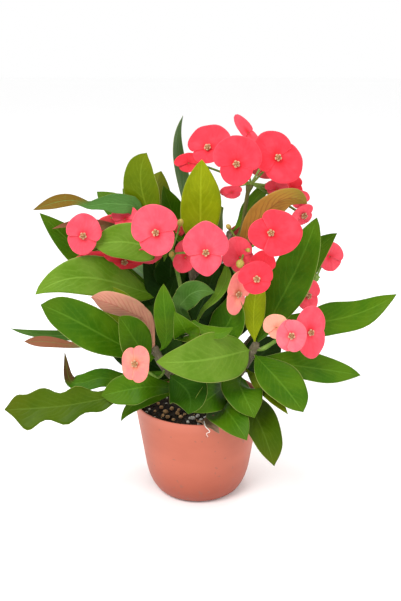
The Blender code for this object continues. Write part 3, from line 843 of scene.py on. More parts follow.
@dataclass
class Blade:
    """A thin blade along a rib: the line that every leaf and bract is drawn from.

    Attributes:
        rib: Points of the middle line, from the foot to the tip.
        half: Half-width vector at each point, towards the right edge.
        lift: Vector from the middle line to the middle between the two edges.
        top: Unit normal of the top side.
        thick: Half thickness at the rib.
        wave: Height of the margin's waves in metres.
        waves: Number of waves along the blade.
        frill: How far the edges swing in and out, as a share of the half width.
        blunt: How much fuller the blade's end is.
        columns: Cells across the blade.
        rows: Cells along it.
    """

    rib: list[Vector]
    half: list[Vector]
    lift: list[Vector]
    top: list[Vector]
    thick: list[float]
    wave: float = 0.6 * MM
    waves: float = 2.4
    frill: float = 0.025
    blunt: float = 0.0
    columns: int = 12
    rows: int = 38

    @classmethod
    def of_node(cls, name: str) -> "Blade":
        """Reads a leaf's line back from its solid.

        Its sections have two edges, a top and an underside.

        Args:
            name: The leaf's node in the frame.

        Returns:
            The blade.
        """
        sections = Sections.of_node(name, 4, slim_foot=True)
        wide = max(sections.rings, key=spread)
        edge = 0 if (wide[0] - wide[2]).length > (wide[1] - wide[3]).length else 1
        chord = (wide[edge] + wide[edge + 2]) / 2
        others = ((edge + 1) % 4, (edge + 3) % 4)
        top, under = sorted(others, key=lambda k: (wide[k] - chord).length)
        ribs = [(ring[top] + ring[under]) / 2 for ring in sections.rings]
        middle = sections.rings.index(wide)
        along = ribs[middle + 1] - ribs[middle - 1]
        right = edge if (wide[edge] - chord).dot(along.cross(wide[top] - wide[under])) > 0 else edge + 2
        left = (right + 2) % 4
        out = (sections.foot - ribs[0]).normalized() * 1.5 * MM
        first = sections.rings[1]
        slim = (first[right] - first[left]).normalized() * 0.9 * MM
        up = (first[top] - first[under]).normalized()
        blade = cls([sections.foot + out, ribs[0]], [slim, slim], [Vector(), Vector()], [up, up],
                    [PETIOLE, PETIOLE])
        for ring, rib in zip(sections.rings[1:], ribs[1:]):
            blade.rib.append(rib)
            blade.half.append((ring[right] - ring[left]) / 2)
            blade.lift.append((ring[right] + ring[left]) / 2 - rib)
            blade.top.append((ring[top] - ring[under]).normalized())
            blade.thick.append((ring[top] - ring[under]).length / 2)
        blade.rib.append(sections.end)
        blade.half.append(blade.half[-1] * 0.02)
        blade.lift.append(Vector())
        blade.top.append(blade.top[-1])
        blade.thick.append(0.2 * MM)
        return blade

    @classmethod
    def drawn(cls, path: list[Vector], face: Vector, width: float, cup: float = 0.14, widest: float = 0.6,
              line: Callable[[list, float], Vector] = bezier, profile: tuple[float, ...] = ()) -> "Blade":
        """Draws a new blade along a smooth path.

        Args:
            path: Points that steer the line from the foot to the tip.
            face: Direction that the top side looks to.
            width: Greatest width in metres.
            cup: How far the edges rise, as a share of the half width.
            widest: Share of the length at which it is widest.
            line: Function of (path, t) that gives the middle line's points.
            profile: Widths at even steps in place of the usual oval, in metres.

        Returns:
            The blade.
        """
        blade = cls([], [], [], [], [])
        stations, near = 14, 0.01
        power = math.log(0.5) / math.log(widest)
        for i in range(stations + 1):
            t = i / stations
            along = (line(path, min(t + near, 1)) - line(path, max(t - near, 0))).normalized()
            top = square_to(along, face)
            share = math.sin(math.pi * min(max(t, 0.002), 0.998) ** power) ** 0.85
            wide = spline(profile, t) if profile else width * share
            half = max(wide / 2, PETIOLE * (1 - t), 0.1 * MM)
            blade.rib.append(line(path, t) - top * cup * half * 0.5)
            blade.half.append(along.cross(top) * half)
            blade.lift.append(top * cup * half * 1.5)
            blade.top.append(top)
            blade.thick.append((0.9 * max(0.0, 1 - 5 * t) + 0.5 * (1 - 0.5 * t)) * MM)
        return blade

    def draw(self, skin: Skin, finish: int = 0, phase: float = 0.0) -> None:
        """Adds the blade to a skin as one closed shell.

        Args:
            skin: The skin to add to.
            finish: Material number.
            phase: Shifts the waves, so that no two blades match.
        """
        rings = []
        columns = self.columns
        skipped, kept = 0.0351, 0.9649  # shares of the cosine before the first row and after it
        for i in range(self.rows):
            t = 0.5 - 0.5 * math.cos(math.pi * (0.12 + 0.875 * i / (self.rows - 1)))
            t = (t - skipped) / kept
            rib, half, lift = spline(self.rib, t), spline(self.half, t), spline(self.lift, t)
            half = half * (1 + self.blunt * bell(t - 0.90, 0.11))
            top, thick = spline(self.top, t).normalized(), spline(self.thick, t)
            full = half.length
            swell = self.wave * math.sin(math.pi * min(1.0, max(0.0, t))) * min(1.0, full / (5 * MM))
            upper, under = [], []
            for k in range(columns + 1):
                s = 2 * k / columns - 1
                s = math.copysign(abs(s) ** 0.9, s)
                rise = lift * abs(s) ** 1.5
                side = math.copysign(1, s)
                ripple = math.sin(FULL_TURN * (self.waves * t + 0.23 * side) + phase + 1.3 * s)
                swing = math.sin(FULL_TURN * (1.1 * self.waves * t + 0.21 * side) + 1.7 * phase)
                out = s * (1 + self.frill * swing * abs(s))
                middle = rib + half * out + rise + top * swell * ripple * s * s
                slim = full <= 2 * MM
                plump = math.sqrt(max(0.05, 1 - s * s)) if slim else 0.32 + 0.68 * bell(s, 0.35)
                flesh = thick * plump
                groove = 0.28 * MM * bell(s, 0.07) if full > 3 * MM else 0.0
                place = (k / columns, t)
                upper.append((middle + top * (flesh - groove), place, 0.0))
                under.append((middle - top * (flesh + 0.6 * groove), place, 1.0))
            rings.append(upper + under[::-1])
        skin.loft(rings, self.rib[0], self.rib[-1], finish)


@dataclass(frozen=True)
class LeafLook:
    """How one of the frame's leaves differs from its fellows.

    Attributes:
        finish: Its colour, or None for its slot's own.
        wave: Height of the margin's waves, in millimetres.
        waves: Their number along the blade.
        frill: How far the edges swing in and out.
        blunt: How much fuller its end is.
        via: Points that steer it from its own foot to its tip, in millimetres, where it is drawn anew.
        width: Greatest width when drawn anew, in millimetres.
        widest: Share of the length at which it is widest when drawn anew.
        facing: Direction that its top looks to.
        profile: Widths from the foot to the tip in place of the usual oval, in millimetres.
    """

    finish: "Leafage | None" = None
    wave: float = 0.5
    waves: float = 2.2
    frill: float = 0.025
    blunt: float = 0.0
    via: tuple[Place3, ...] = ()
    width: float = 25.0
    widest: float = 0.6
    facing: Place3 = (0.1, -0.9, 0.5)
    profile: tuple[float, ...] = ()

    def blade(self, name: str) -> "Blade":
        """Shapes one of the frame's leaves by this look.

        Args:
            name: The leaf's node in the frame.

        Returns:
            Its blade.
        """
        blade = Blade.of_node(name)
        if self.via:
            path = [blade.rib[0], *(Vector(point) * MM for point in self.via)]
            widths = tuple(width * MM for width in self.profile)
            blade = Blade.drawn(path, Vector(self.facing), self.width * MM, widest=self.widest,
                                line=spline, profile=widths)
        blade.wave, blade.waves = self.wave * MM, self.waves
        blade.frill, blade.blunt = self.frill, self.blunt
        return blade


LEAF_LOOKS = {
    "leaf_front_long": LeafLook(Leafage.DULL, 2.2, 3.6, 0.22, 0.8, via=(
        (-60, -46, 104), (-83, -52, 101), (-105, -56, 99), (-127, -58, 98), (-147, -60, 98)), width=25,
        widest=0.62),
    "leaf_front_short": LeafLook(
        via=((-37, -45, 110), (-53, -50, 110), (-74, -52, 106)), width=25, blunt=0.2),
    "leaf_front_pink": LeafLook(Leafage.PINK, 0.8, 1.6, 0.04, via=(
        (-39, -38, 161), (-46, -41, 168), (-55, -44, 174), (-64, -46, 179), (-72, -47, 182),
        (-79, -47, 184)), profile=(3, 13, 19, 23, 22, 15, 0.5), facing=(0.2, 1.0, 0.3)),
    "leaf_left_twisted": LeafLook(Leafage.TWISTED, 0.5, 1.5, 0.03, via=(
        (-49, 12, 238), (-63, 6, 243), (-73, 3, 244), (-84, 0, 243), (-92, -2, 247), (-102, -5, 248),
        (-113, -8, 246), (-125, -11, 242)), profile=(2, 13, 16.5, 11.5, 6.5, 7, 10.5, 9, 0.5)),
    "leaf_left_middle": LeafLook(via=(
        (-30, 4, 205), (-43, -2, 212), (-60, -6, 216), (-82, -8, 214)), width=30, widest=0.62, blunt=0.2),
    "leaf_middle_curved": LeafLook(Leafage.LIGHT, 0.3, via=(
        (4, -26, 166), (13, -28, 176), (19, -26, 185), (22, -22, 192), (22, -18, 200)),
        profile=(2, 3.5, 6.5, 10, 10.5, 3), facing=(-0.6, -0.8, 0.3)),
    "leaf_middle_folded": LeafLook(Leafage.MID, 0.3, via=(
        (-5, -28, 157), (1, -34, 155), (8, -38, 153), (16, -41, 153), (22, -42, 155), (27, -42, 158)),
        profile=(1.5, 4, 6.5, 9, 9.5, 6, 0.5), facing=(0, -0.9, 0.5)),
    "leaf_middle_oval": LeafLook(wave=0.3, via=(
        (-14, -26, 167), (-10, -30, 176), (-5, -33, 182), (3, -34, 185), (13, -33, 183)),
        profile=(2, 12, 18, 19.5, 13, 0.5), facing=(-0.3, -1.0, 0.4)),
    "leaf_middle_right": LeafLook(Leafage.DARK, 0.6),
    "leaf_right_far": LeafLook(Leafage.MID, 1.3, 2.6, 0.10),
    "leaf_low_hanging": LeafLook(Leafage.DULL, 1.6, 1.2, 0.08, 0.45),
    "leaf_back_tall": LeafLook(wave=1.4, waves=1.8, frill=0.08),
    "leaf_back_bronze": LeafLook(wave=1.0, waves=2.0, frill=0.06, blunt=0.3),
    "leaf_low_front": LeafLook(Leafage.DARK, 1.0, 1.6, 0.05, 0.3),
    "leaf_low_drooping": LeafLook(blunt=0.35),
    "leaf_front_hanging": LeafLook(Leafage.SHADED, 0.6, 1.6, blunt=0.2),
    "leaf_front_upright": LeafLook(Leafage.MID),
    "leaf_front_large": LeafLook(blunt=0.1),
    "leaf_left_arching": LeafLook(wave=1.0, waves=1.6, frill=0.06),
    "leaf_left_broad": LeafLook(blunt=0.3),
    "leaf_back_olive": LeafLook(blunt=0.3),
    "leaf_right_low": LeafLook(Leafage.DARK, 0.8, 2.0, 0.06),
    "leaf_right_drooping": LeafLook(Leafage.DARK, blunt=0.3),
}
SLOT_FINISHES = {
    "young": Leafage.YOUNG, "light": Leafage.LIGHT, "mid": Leafage.MID, "dark": Leafage.DARK,
    "olive": Leafage.OLIVE, "blue": Leafage.BLUE, "bronze": Leafage.BRONZE,
}


@dataclass
class Foliage:
    """All leaves: those of the frame, the small and hidden ones that it leaves out, and near-black leaves
    of painted shade.

    Attributes:
        looks: How single leaves differ.
        finishes: Colour of each of the record's slots.
    """

    looks: dict[str, LeafLook] = field(default_factory=lambda: LEAF_LOOKS)
    finishes: dict[str, Leafage] = field(default_factory=lambda: SLOT_FINISHES)

    def build(self, plan: dict[str, str], stems: "Woodwork") -> int:
        """Draws every leaf.

        Args:
            plan: Material slot of each frame leaf.
            stems: The stems, whose sides carry the added leaves.

        Returns:
            The number of leaves.
        """
        for number, (name, slot) in enumerate(sorted(plan.items())):
            look = self.looks.get(name, LeafLook())
            skin = Skin()
            look.blade(name).draw(skin, phase=1.7 * number)
            finish = material_of(look.finish or self.finishes[slot])
            skin.piece("blade_" + name.removeprefix("leaf_"), [finish], slot, (name,))
        for number, sprig in enumerate(SPRIGS):
            skin = Skin()
            sprig.blade(stems).draw(skin, phase=2.3 * number)
            skin.piece(f"sprig_{number + 1:02d}", [material_of(sprig.finish)], sprig.slot)
        return len(plan) + len(SPRIGS)


@dataclass(frozen=True)
class Sprig:
    """An added leaf.

    Attributes:
        stem: Frame stem that carries it.
        along: Share of the stem's length at its foot.
        tip: Its tip, in millimetres.
        face: Direction that its top looks to.
        width: Greatest width, in millimetres.
        finish: Its colour.
        bend: How far its middle bows out, in millimetres.
        slot: The record's slot.
        via: Points that it passes through on its way, in millimetres.
        widest: Share of its length at which it is widest.
    """

    stem: str
    along: float
    tip: Place3
    face: Place3
    width: float
    finish: Leafage
    bend: Place3 = (0, 0, 0)
    slot: str = "dark"
    via: tuple[Place3, ...] = ()
    widest: float = 0.6

    def blade(self, stems: "Woodwork") -> Blade:
        """Draws the leaf's line from the stem's side to its tip.

        Args:
            stems: The stems, read from the frame.

        Returns:
            Its blade.
        """
        tip = Vector(self.tip) * MM
        base = stems.side(self.stem, self.along, Vector(self.via[0]) * MM if self.via else tip)
        if self.via:
            path = [base, *(Vector(point) * MM for point in self.via), tip]
            return Blade.drawn(path, Vector(self.face), self.width * MM, widest=self.widest, line=spline)
        out = (base - stems.point(self.stem, self.along)).normalized() * 4 * MM
        middle = base.lerp(tip, 0.55) + Vector(self.bend) * MM * 1.8
        path = [base, base.lerp(tip, 0.15) + out, middle, tip]
        return Blade.drawn(path, Vector(self.face), self.width * MM, widest=self.widest)


SPRIGS = (
    Sprig("branch_left", 0.95, (-84, 50, 244), (0, -1, 0.5), 20, Leafage.DARK),
    Sprig("branch_left", 0.99, (-62, 44, 248), (0.3, -1, 0.3), 9, Leafage.DARK),
    Sprig("branch_left", 0.90, (-114, 2, 224), (0.2, -1, 0.6), 8, Leafage.RED, (0, 0, 8)),
    Sprig("branch_front", 0.90, (-86, -12, 181), (0.4, -1, 0.5), 26, Leafage.OLIVE, (4, 0, 6), "olive"),
    Sprig("branch_middle", 0.80, (-17, -54, 175), (-0.2, -1, 0.7), 21, Leafage.MID, (4, -8, -6), "mid"),
    Sprig("branch_front", 0.70, (-105, -25, 131), (0.1, -1, 0.6), 15, Leafage.CURLED, slot="mid",
          via=((-57, -27, 107), (-76, -28, 110), (-92, -28, 106), (-102, -27, 108)), widest=0.42),
    Sprig("branch_left", 0.40, (-150, -10, 145), (0, -1, 0.8), 9, Leafage.BLUE, (-16, -6, -4), "blue"),
    Sprig("branch_front", 0.92, (-138, -18, 137), (0, -1, 0.6), 9, Leafage.RED, widest=0.78,
          via=((-70, -18, 134), (-98, -14, 132), (-120, -16, 136))),
    Sprig("branch_right", 0.50, (-6, -62, 97), (0.3, -1, 0.4), 25, Leafage.DARK, (4, -12, 8)),
    Sprig("branch_right", 0.70, (69, -60, 94), (0.4, -1, 0.5), 14, Leafage.OLIVE, (-2, 0, 4), "olive"),
    Sprig("branch_back", 0.97, (64, 14, 258), (-0.6, -0.6, 0.6), 14, Leafage.MID, (-3, 0, 7), "mid"),
    Sprig("branch_right", 0.97, (49, -15, 194), (0.1, -1, 0.1), 18, Leafage.YOUNG, (-3, -3, 0), "young"),
    Sprig("branch_front", 0.45, (-60, -48, 82), (0.3, -1, 0.3), 13, Leafage.DARK, (-6, 0, 7)),
    Sprig("trunk", 0.93, (-28, 34, 252), (0.7, -0.8, 0.2), 24, Leafage.DARK),
    Sprig("branch_left", 0.82, (-76, 46, 196), (0, 1, 0.6), 32, Leafage.DARK, (0, 4, 10)),
    Sprig("branch_left", 0.55, (-62, 52, 152), (0, 1, 0.6), 32, Leafage.MID, (0, 4, 8), "mid"),
    Sprig("trunk", 0.70, (-44, 66, 206), (0, 1, 0.5), 34, Leafage.DARK, (0, 6, 8)),
    Sprig("trunk", 0.86, (22, 62, 228), (0, 1, 0.4), 30, Leafage.MID, (0, 8, 6), "mid"),
    Sprig("trunk", 0.58, (24, 78, 178), (0, 1, 0.7), 32, Leafage.DARK, (0, 4, 12)),
    Sprig("branch_back", 0.86, (58, 62, 212), (0, 1, 0.5), 30, Leafage.DARK, (0, 6, 8)),
    Sprig("branch_rear", 0.60, (82, 72, 148), (0, 1, 0.7), 32, Leafage.MID, (0, 2, 12), "mid"),
    Sprig("branch_rear", 0.90, (98, 62, 178), (0, 1, 0.5), 28, Leafage.DARK, (0, 4, 8)),
    # Near-black leaves in the crown's inside: painted shade that fills the gaps between the leaves.
    Sprig("branch_middle", 0.60, (-44, 6, 158), (0, -1, 0.5), 30, Leafage.PAINTED_SHADE_FILL),
    Sprig("branch_middle", 0.92, (16, 8, 192), (0, -1, 0.3), 28, Leafage.PAINTED_SHADE_FILL),
    Sprig("trunk", 0.50, (46, 8, 160), (0, -1, 0.5), 30, Leafage.PAINTED_SHADE_FILL),
    Sprig("branch_right", 0.60, (70, 22, 124), (0, -1, 0.6), 30, Leafage.PAINTED_SHADE_FILL),
    Sprig("branch_front", 0.50, (-80, 12, 132), (0, -1, 0.7), 30, Leafage.PAINTED_SHADE_FILL),
    Sprig("trunk", 0.40, (-30, 76, 126), (0, 0.7, 1), 32, Leafage.MID, (0, 0, 12), "mid"),
    Sprig("trunk", 0.44, (44, 74, 124), (0, 0.7, 1), 32, Leafage.DARK, (0, 0, 12)),
    Sprig("branch_left", 0.36, (-72, 56, 118), (-0.3, 0.7, 1), 30, Leafage.DARK, (0, 0, 10)),
    Sprig("branch_left", 0.95, (-30, 46, 262), (0.3, 1, 0.2), 26, Leafage.OLIVE, (0, 6, 0), "olive"),
    # More near-black leaves of painted shade, filling the dark inside of the crown.
    Sprig("trunk", 0.76, (-30, 22, 214), (0, -1, 0.3), 30, Leafage.PAINTED_SHADE_FILL),
    Sprig("branch_left", 0.62, (-20, 8, 206), (0.2, -1, 0.3), 28, Leafage.PAINTED_SHADE_FILL),
    Sprig("trunk", 0.52, (-44, 16, 198), (0, -1, 0.3), 34, Leafage.PAINTED_SHADE_FILL),
    Sprig("trunk", 0.44, (-18, 2, 184), (0, -1, 0.3), 30, Leafage.PAINTED_SHADE_FILL),
    Sprig("branch_left", 0.30, (-54, 10, 168), (0, -1, 0.3), 32, Leafage.PAINTED_SHADE_FILL),
    Sprig("branch_middle", 0.66, (22, -4, 160), (0, -1, 0.3), 30, Leafage.PAINTED_SHADE_FILL),
    Sprig("trunk", 0.58, (24, 8, 196), (0, -1, 0.3), 32, Leafage.PAINTED_SHADE_FILL),
    Sprig("branch_front", 0.62, (-34, 2, 150), (0, -1, 0.3), 30, Leafage.PAINTED_SHADE_FILL),
)


# --- Stems ---


@dataclass
class Woodwork:
    """Trunk, branches and flower stalks, read from the frame and drawn with knots and thorns.

    Attributes:
        thorn_length: Length of a thorn.
        thorn_radius: Radius of its foot.
        thorns_per_area: Thorns on a square metre of bark.
        lines: Middle line, radii and end of each stem and stalk.
    """

    thorn_length: float = 5.5 * MM
    thorn_radius: float = 0.45 * MM
    thorns_per_area: float = 9000.0
    lines: dict[str, tuple[list[Vector], list[float], Vector]] = field(default_factory=dict)

    def read(self) -> None:
        """Reads the middle line and the radii of each stem and stalk."""
        for name in frame["nodes"]:
            if name == "trunk" or name.startswith("branch_"):
                sections = Sections.of_node(name, 10, slim_foot=False)
            elif name.startswith("stalk_"):
                sections = Sections.of_node(name, 8, slim_foot=True)
            else:
                continue
            self.lines[name] = (sections.centres(), sections.radii(), sections.end)

    def point(self, name: str, along: float) -> Vector:
        """The point on a stem's middle line at a share of its length."""
        return spline(self.lines[name][0], along)

    def side(self, name: str, along: float, towards: Vector) -> Vector:
        """Finds a seat on a stem's side.

        Args:
            name: The stem.
            along: Share of its length.
            towards: Target that the seat faces.

        Returns:
            The point there, a little under the bark.
        """
        centre = self.point(name, along)
        near = 0.02
        after, before = self.point(name, min(along + near, 1)), self.point(name, max(along - near, 0))
        out = square_to((after - before).normalized(), towards - centre)
        return centre + out * spline(self.lines[name][1], along) * 0.8

    def build(self) -> int:
        """Draws every stem and stalk.

        Returns:
            The number of pieces.
        """
        for name, (centres, radii, _) in sorted(self.lines.items()):
            stalk = name.startswith("stalk_")
            sunk = 0.0 if name == "trunk" else 2.5
            foot = centres[0] - (centres[1] - centres[0]).normalized() * sunk * MM
            path = [foot, *centres]
            flare = 0.0 if name == "trunk" else 0.45
            knots = 3 if stalk else 11
            girths = [radii[0], *radii]

            def radius(t: float, angle: float) -> float:
                """Gives a stem's radius, with a flared foot, swollen knots and lumps.

                Args:
                    t: Share of the stem's length.
                    angle: Angle round it.

                Returns:
                    The radius in metres.
                """
                round_it = Vector((math.cos(angle), math.sin(angle), 0))
                where = spline(path, t) + round_it * 3 * MM
                lumps = 0.05 * noise.noise(where * 260) + 0.05 * noise.noise(where * 90)
                knot = 0.06 * bell(math.sin(math.pi * knots * t + 0.4 * math.sin(angle)), 0.35)
                return spline(girths, t) * (1 + flare * bell(t, 0.05) + lumps + knot)

            skin = Skin()
            skin.tube(path, radius, 12 if stalk else 22, 30 if stalk else 90)
            bark = Ground.BARK
            if stalk:
                bark = Ground.BROWNWOOD if name == "stalk_top" else Ground.GREENWOOD
            slot = "stalk" if stalk else "bark"
            piece = skin.piece("stem_" + name, [material_of(bark)], slot, (name,))
            if not stalk:
                self.add_thorns(piece, name)
        return len(self.lines)

    def add_thorns(self, stem: bpy.types.Object, name: str) -> None:
        """Scatters thorns over one stem with Geometry Nodes and keeps them as a plain mesh.

        Args:
            stem: The drawn stem.
            name: Its node in the frame.
        """
        values = {"Density": self.thorns_per_area, "Length": self.thorn_length,
                  "Radius": self.thorn_radius, "Seed": len(name)}
        grown = scatter(stem, f"thorns_{name}", "thorn", values, material_of(Ground.THORN))
        tie(grown)


def scatter(surface: bpy.types.Object, name: str, kind: str, values: dict[str, float],
            material: bpy.types.Material) -> bpy.types.Object:
    """Repeats a small shape over a surface with Geometry Nodes.

    Args:
        surface: Object whose faces carry the shapes.
        name: Name of the new object.
        kind: "thorn" for cones that stand on the surface, "crumb" for grains that lie on it.
        values: Named inputs of the tree.
        material: Material of the shapes.

    Returns:
        A plain mesh object with the shapes only.
    """
    tree = bpy.data.node_groups.new(name, "GeometryNodeTree")
    tree.interface.new_socket("Geometry", in_out="OUTPUT", socket_type="NodeSocketGeometry")
    tree.interface.new_socket("Geometry", in_out="INPUT", socket_type="NodeSocketGeometry")
    sockets = {}
    for label in values:
        kind_of = "NodeSocketInt" if label == "Seed" else "NodeSocketFloat"
        sockets[label] = tree.interface.new_socket(label, in_out="INPUT", socket_type=kind_of)
    entry = tree.nodes.new("NodeGroupInput")
    leave = tree.nodes.new("NodeGroupOutput")

    def add(node_type: str, joined: dict, **settings) -> bpy.types.Node:
        """Adds a node to the tree.

        Args:
            node_type: The node's type.
            joined: Value or another node's output for each input.
            **settings: The node's own properties.

        Returns:
            The node.
        """
        node = tree.nodes.new(node_type)
        for key, value in settings.items():
            setattr(node, key, value)
        for key, value in joined.items():
            if isinstance(value, bpy.types.NodeSocket):
                tree.links.new(value, node.inputs[key])
            else:
                node.inputs[key].default_value = value
        return node

    def random_vector(low: Place3, high: Place3) -> Socket:
        """A vector of random numbers between two others, drawn for each point."""
        values = {0: low, 1: high, "Seed": entry.outputs["Seed"]}
        return add("FunctionNodeRandomValue", values, data_type="FLOAT_VECTOR").outputs[0]

    spread_out = add("GeometryNodeDistributePointsOnFaces", {
        "Mesh": entry.outputs["Geometry"], "Density": entry.outputs["Density"],
        "Seed": entry.outputs["Seed"]})
    if kind == "thorn":
        shape = add("GeometryNodeMeshCone", {
            "Vertices": 6, "Side Segments": 2, "Radius Top": 0.04 * MM,
            "Radius Bottom": entry.outputs["Radius"], "Depth": entry.outputs["Length"]})
        lean = random_vector((-0.35, -0.35, 0.0), (0.35, 0.35, 6.28))
        size = random_vector((0.45, 0.45, 0.35), (1.15, 1.15, 1.25))
    else:
        shape = add("GeometryNodeMeshIcoSphere", {"Radius": entry.outputs["Radius"], "Subdivisions": 2})
        lean = random_vector((0.0, 0.0, 0.0), (6.28, 6.28, 6.28))
        size = random_vector((0.3, 0.3, 0.25), (1.3, 1.1, 0.8))
    turned = add("FunctionNodeRotateRotation", {
        "Rotation": spread_out.outputs["Rotation"], "Rotate By": lean}, rotation_space="LOCAL")
    placed = add("GeometryNodeInstanceOnPoints", {
        "Points": spread_out.outputs["Points"], "Instance": shape.outputs["Mesh"],
        "Rotation": turned.outputs["Rotation"], "Scale": size})
    real = add("GeometryNodeRealizeInstances", {"Geometry": placed.outputs["Instances"]})
    if kind == "crumb":
        rough = add("ShaderNodeTexNoise", {"Scale": 900.0})
        centred = add("ShaderNodeVectorMath", {0: rough.outputs["Color"], 1: (0.5, 0.5, 0.5)},
                      operation="SUBTRACT")
        shift = add("ShaderNodeVectorMath", {0: centred.outputs[0], "Scale": 1.2 * MM}, operation="SCALE")
        real = add("GeometryNodeSetPosition", {
            "Geometry": real.outputs["Geometry"], "Offset": shift.outputs[0]})
    dressed = add("GeometryNodeSetMaterial", {"Geometry": real.outputs["Geometry"], "Material": material})
    tree.links.new(dressed.outputs["Geometry"], leave.inputs["Geometry"])

    modifier = surface.modifiers.new(name, "NODES")
    modifier.node_group = tree
    for label, value in values.items():
        modifier[sockets[label].identifier] = value
    evaluated = surface.evaluated_get(bpy.context.evaluated_depsgraph_get())
    mesh = bpy.data.meshes.new_from_object(evaluated)
    surface.modifiers.remove(modifier)
    mesh.name = name
    return bpy.data.objects.new(name, mesh)


# --- Flowers ---


@dataclass
class BractPair:
    """Two broad bracts about a small cup with glands, on a pedicel.

    Attributes:
        centre: Middle of the cup.
        face: Direction that the bracts look to.
        head_top: Direction of the upper bract.
        half_wide: Half width of the pair.
        half_tall: Half height of the pair.
        stalk: Points of the pedicel, from under the bracts to its foot.
        finish: Bract colour.
        turn: Number that varies the pair.
        cup: How far the ends lift, as a share of their reach.
        spread: Half of the angle that one bract covers, in degrees.
        shift: How far the cup lies below the outline's middle, as a share of the half height.
        dent: Depth of the notch in a bract's end, as a share of its reach.
        lower: Width of the lower bract against the upper one.
        bare: Whether the cup is out of sight.
    """

    centre: Vector
    face: Vector
    head_top: Vector
    half_wide: float
    half_tall: float
    stalk: list[Vector]
    finish: Bracts
    turn: int = 0
    cup: float = 0.10
    spread: float = 102.0
    shift: float = 0.06
    dent: float = 0.0
    lower: float = 0.90
    bare: bool = False

    @classmethod
    def of_node(cls, name: str, finish: Bracts, turn: int) -> "BractPair":
        """Reads a pair back from its solid: cup, bracts and pedicel as rings of twelve.

        Args:
            name: The flower's node in the frame.
            finish: Bract colour.
            turn: Number that varies the pair.

        Returns:
            The pair.
        """
        sections = Sections.of_node(name, 12, slim_foot=False)
        heart, rim, neck = mean(sections.rings[2]), sections.rings[4], mean(sections.rings[6])
        face = (sections.foot - neck).normalized()
        centre = heart - face * 0.3 * MM
        offsets = [p - centre for p in rim]
        offsets = [o - face * o.dot(face) for o in offsets]
        best, count = None, len(rim)
        for start in range(count):
            angles = [FULL_TURN * (k - start) / count for k in range(count)]
            shares = [1 - 0.13 * bell(math.cos(a), 0.28) - 0.05 * bell(math.sin(a), 0.22) for a in angles]
            squares = [(o.length / share) ** 2 for o, share in zip(offsets, shares)]
            tall = sum(q * math.cos(2 * a) for q, a in zip(squares, angles)) / (count / 2)
            base = sum(squares) / count
            wrong = sum((base + tall * math.cos(2 * a) - q) ** 2 for q, a in zip(squares, angles))
            if best is None or wrong < best[0] * 0.999:
                best = (wrong, start, math.sqrt(base + tall), math.sqrt(base - tall))
        _, start, half_tall, half_wide = best
        head_top = square_to(face, offsets[start])
        if head_top.z < 0:
            head_top = -head_top
        stalk = [mean(ring) for ring in sections.rings[7:]] + [sections.end]
        return cls(centre, face, head_top, half_wide, half_tall, stalk, finish, turn)

    def bract(self, skin: Skin, sign: int, share: float, raised: float) -> None:
        """Draws one bract: a kidney-shaped fan over a little more than its half of the pair.

        Args:
            skin: The skin to add to.
            sign: 1 for the upper bract and -1 for the lower one.
            share: Its size against the pair's outline.
            raised: How far in front of the pair's middle its outer part lies, in metres.
        """
        tilt = Matrix.Rotation(0.09 * math.sin(2.1 * self.turn + sign), 3, self.face)
        out = tilt @ (self.head_top * sign)
        right = out.cross(self.face)
        reach = math.radians(self.spread)
        columns, rows = 30, 12
        upper, under = [], []
        for i in range(rows + 1):
            v = 0.05 + 0.95 * i / rows
            upper.append([])
            under.append([])
            for k in range(columns + 1):
                u = 2 * k / columns - 1
                a = reach * u
                across, along = math.sin(a), math.cos(a)
                half_wide = self.half_wide * (1.0 if sign > 0 else self.lower)
                edge = 1 / math.hypot(across / half_wide, along / self.half_tall)
                edge *= share * (1 - 0.30 * abs(u) ** 6) * (1 - self.dent * bell(u, 0.16))
                uneven = 1 + 0.022 * math.sin(3.3 * a + self.turn)
                edge *= uneven + 0.006 * math.sin(8 * a + 2 * self.turn)
                r = edge * v
                wave = 0.05 * math.sin(2.4 * a + 1.7 * self.turn + sign)
                wave += 0.02 * math.sin(7 * a + self.turn)
                level = self.cup * along**2 * r * v + wave * r * v * v + raised * (0.25 + 0.75 * v)
                level -= 0.35 * MM * bell(a, 0.16) * math.sin(math.pi * v)
                at = self.centre + right * across * r + out * along * r + self.face * level
                flesh = self.face * (0.30 - 0.14 * v) * MM
                upper[-1].append((at + flesh, (k / columns, v), 0.0))
                under[-1].append((at - flesh, (k / columns, v), 1.0))
        skin.sheet(upper, under)

    def heart(self, skin: Skin) -> None:
        """Draws the cup, its five glands and the stamens inside them.

        Args:
            skin: The skin to add to.
        """
        side = self.head_top
        other = self.face.cross(side)
        rise = self.face * 1.0 * MM
        glands, stamens, gland = 5, 6, (0.72 * MM, 1.1 * MM)
        cup = [self.centre, self.centre + self.face * 1.2 * MM, self.centre + self.face * 2.3 * MM]
        skin.tube(cup, lambda t, a: (1.6 + 0.5 * t) * MM, 10, 5, 1)
        for k in range(glands):
            a = FULL_TURN * (k + 0.3 * self.turn) / glands
            out = side * math.cos(a) + other * math.sin(a)
            skin.blob(self.centre + rise * 2.2 + out * 2.15 * MM, self.face.cross(out), gland, 2)
        for k in range(stamens):
            a = FULL_TURN * (k + 0.5) / stamens
            out = (side * math.cos(a) + other * math.sin(a)) * (1.0 * MM if k else 0.0)
            foot = self.centre + rise * 2.0 + out
            top = foot + self.face * (1.6 + 0.3 * math.sin(3 * k)) * MM + out * 0.5
            skin.tube([foot, top], lambda t, a: 0.16 * MM, 5, 2, 1)
            skin.blob(top, out + self.face * 0.3 * MM, (0.36 * MM, 0.45 * MM), 2, 6, 3)

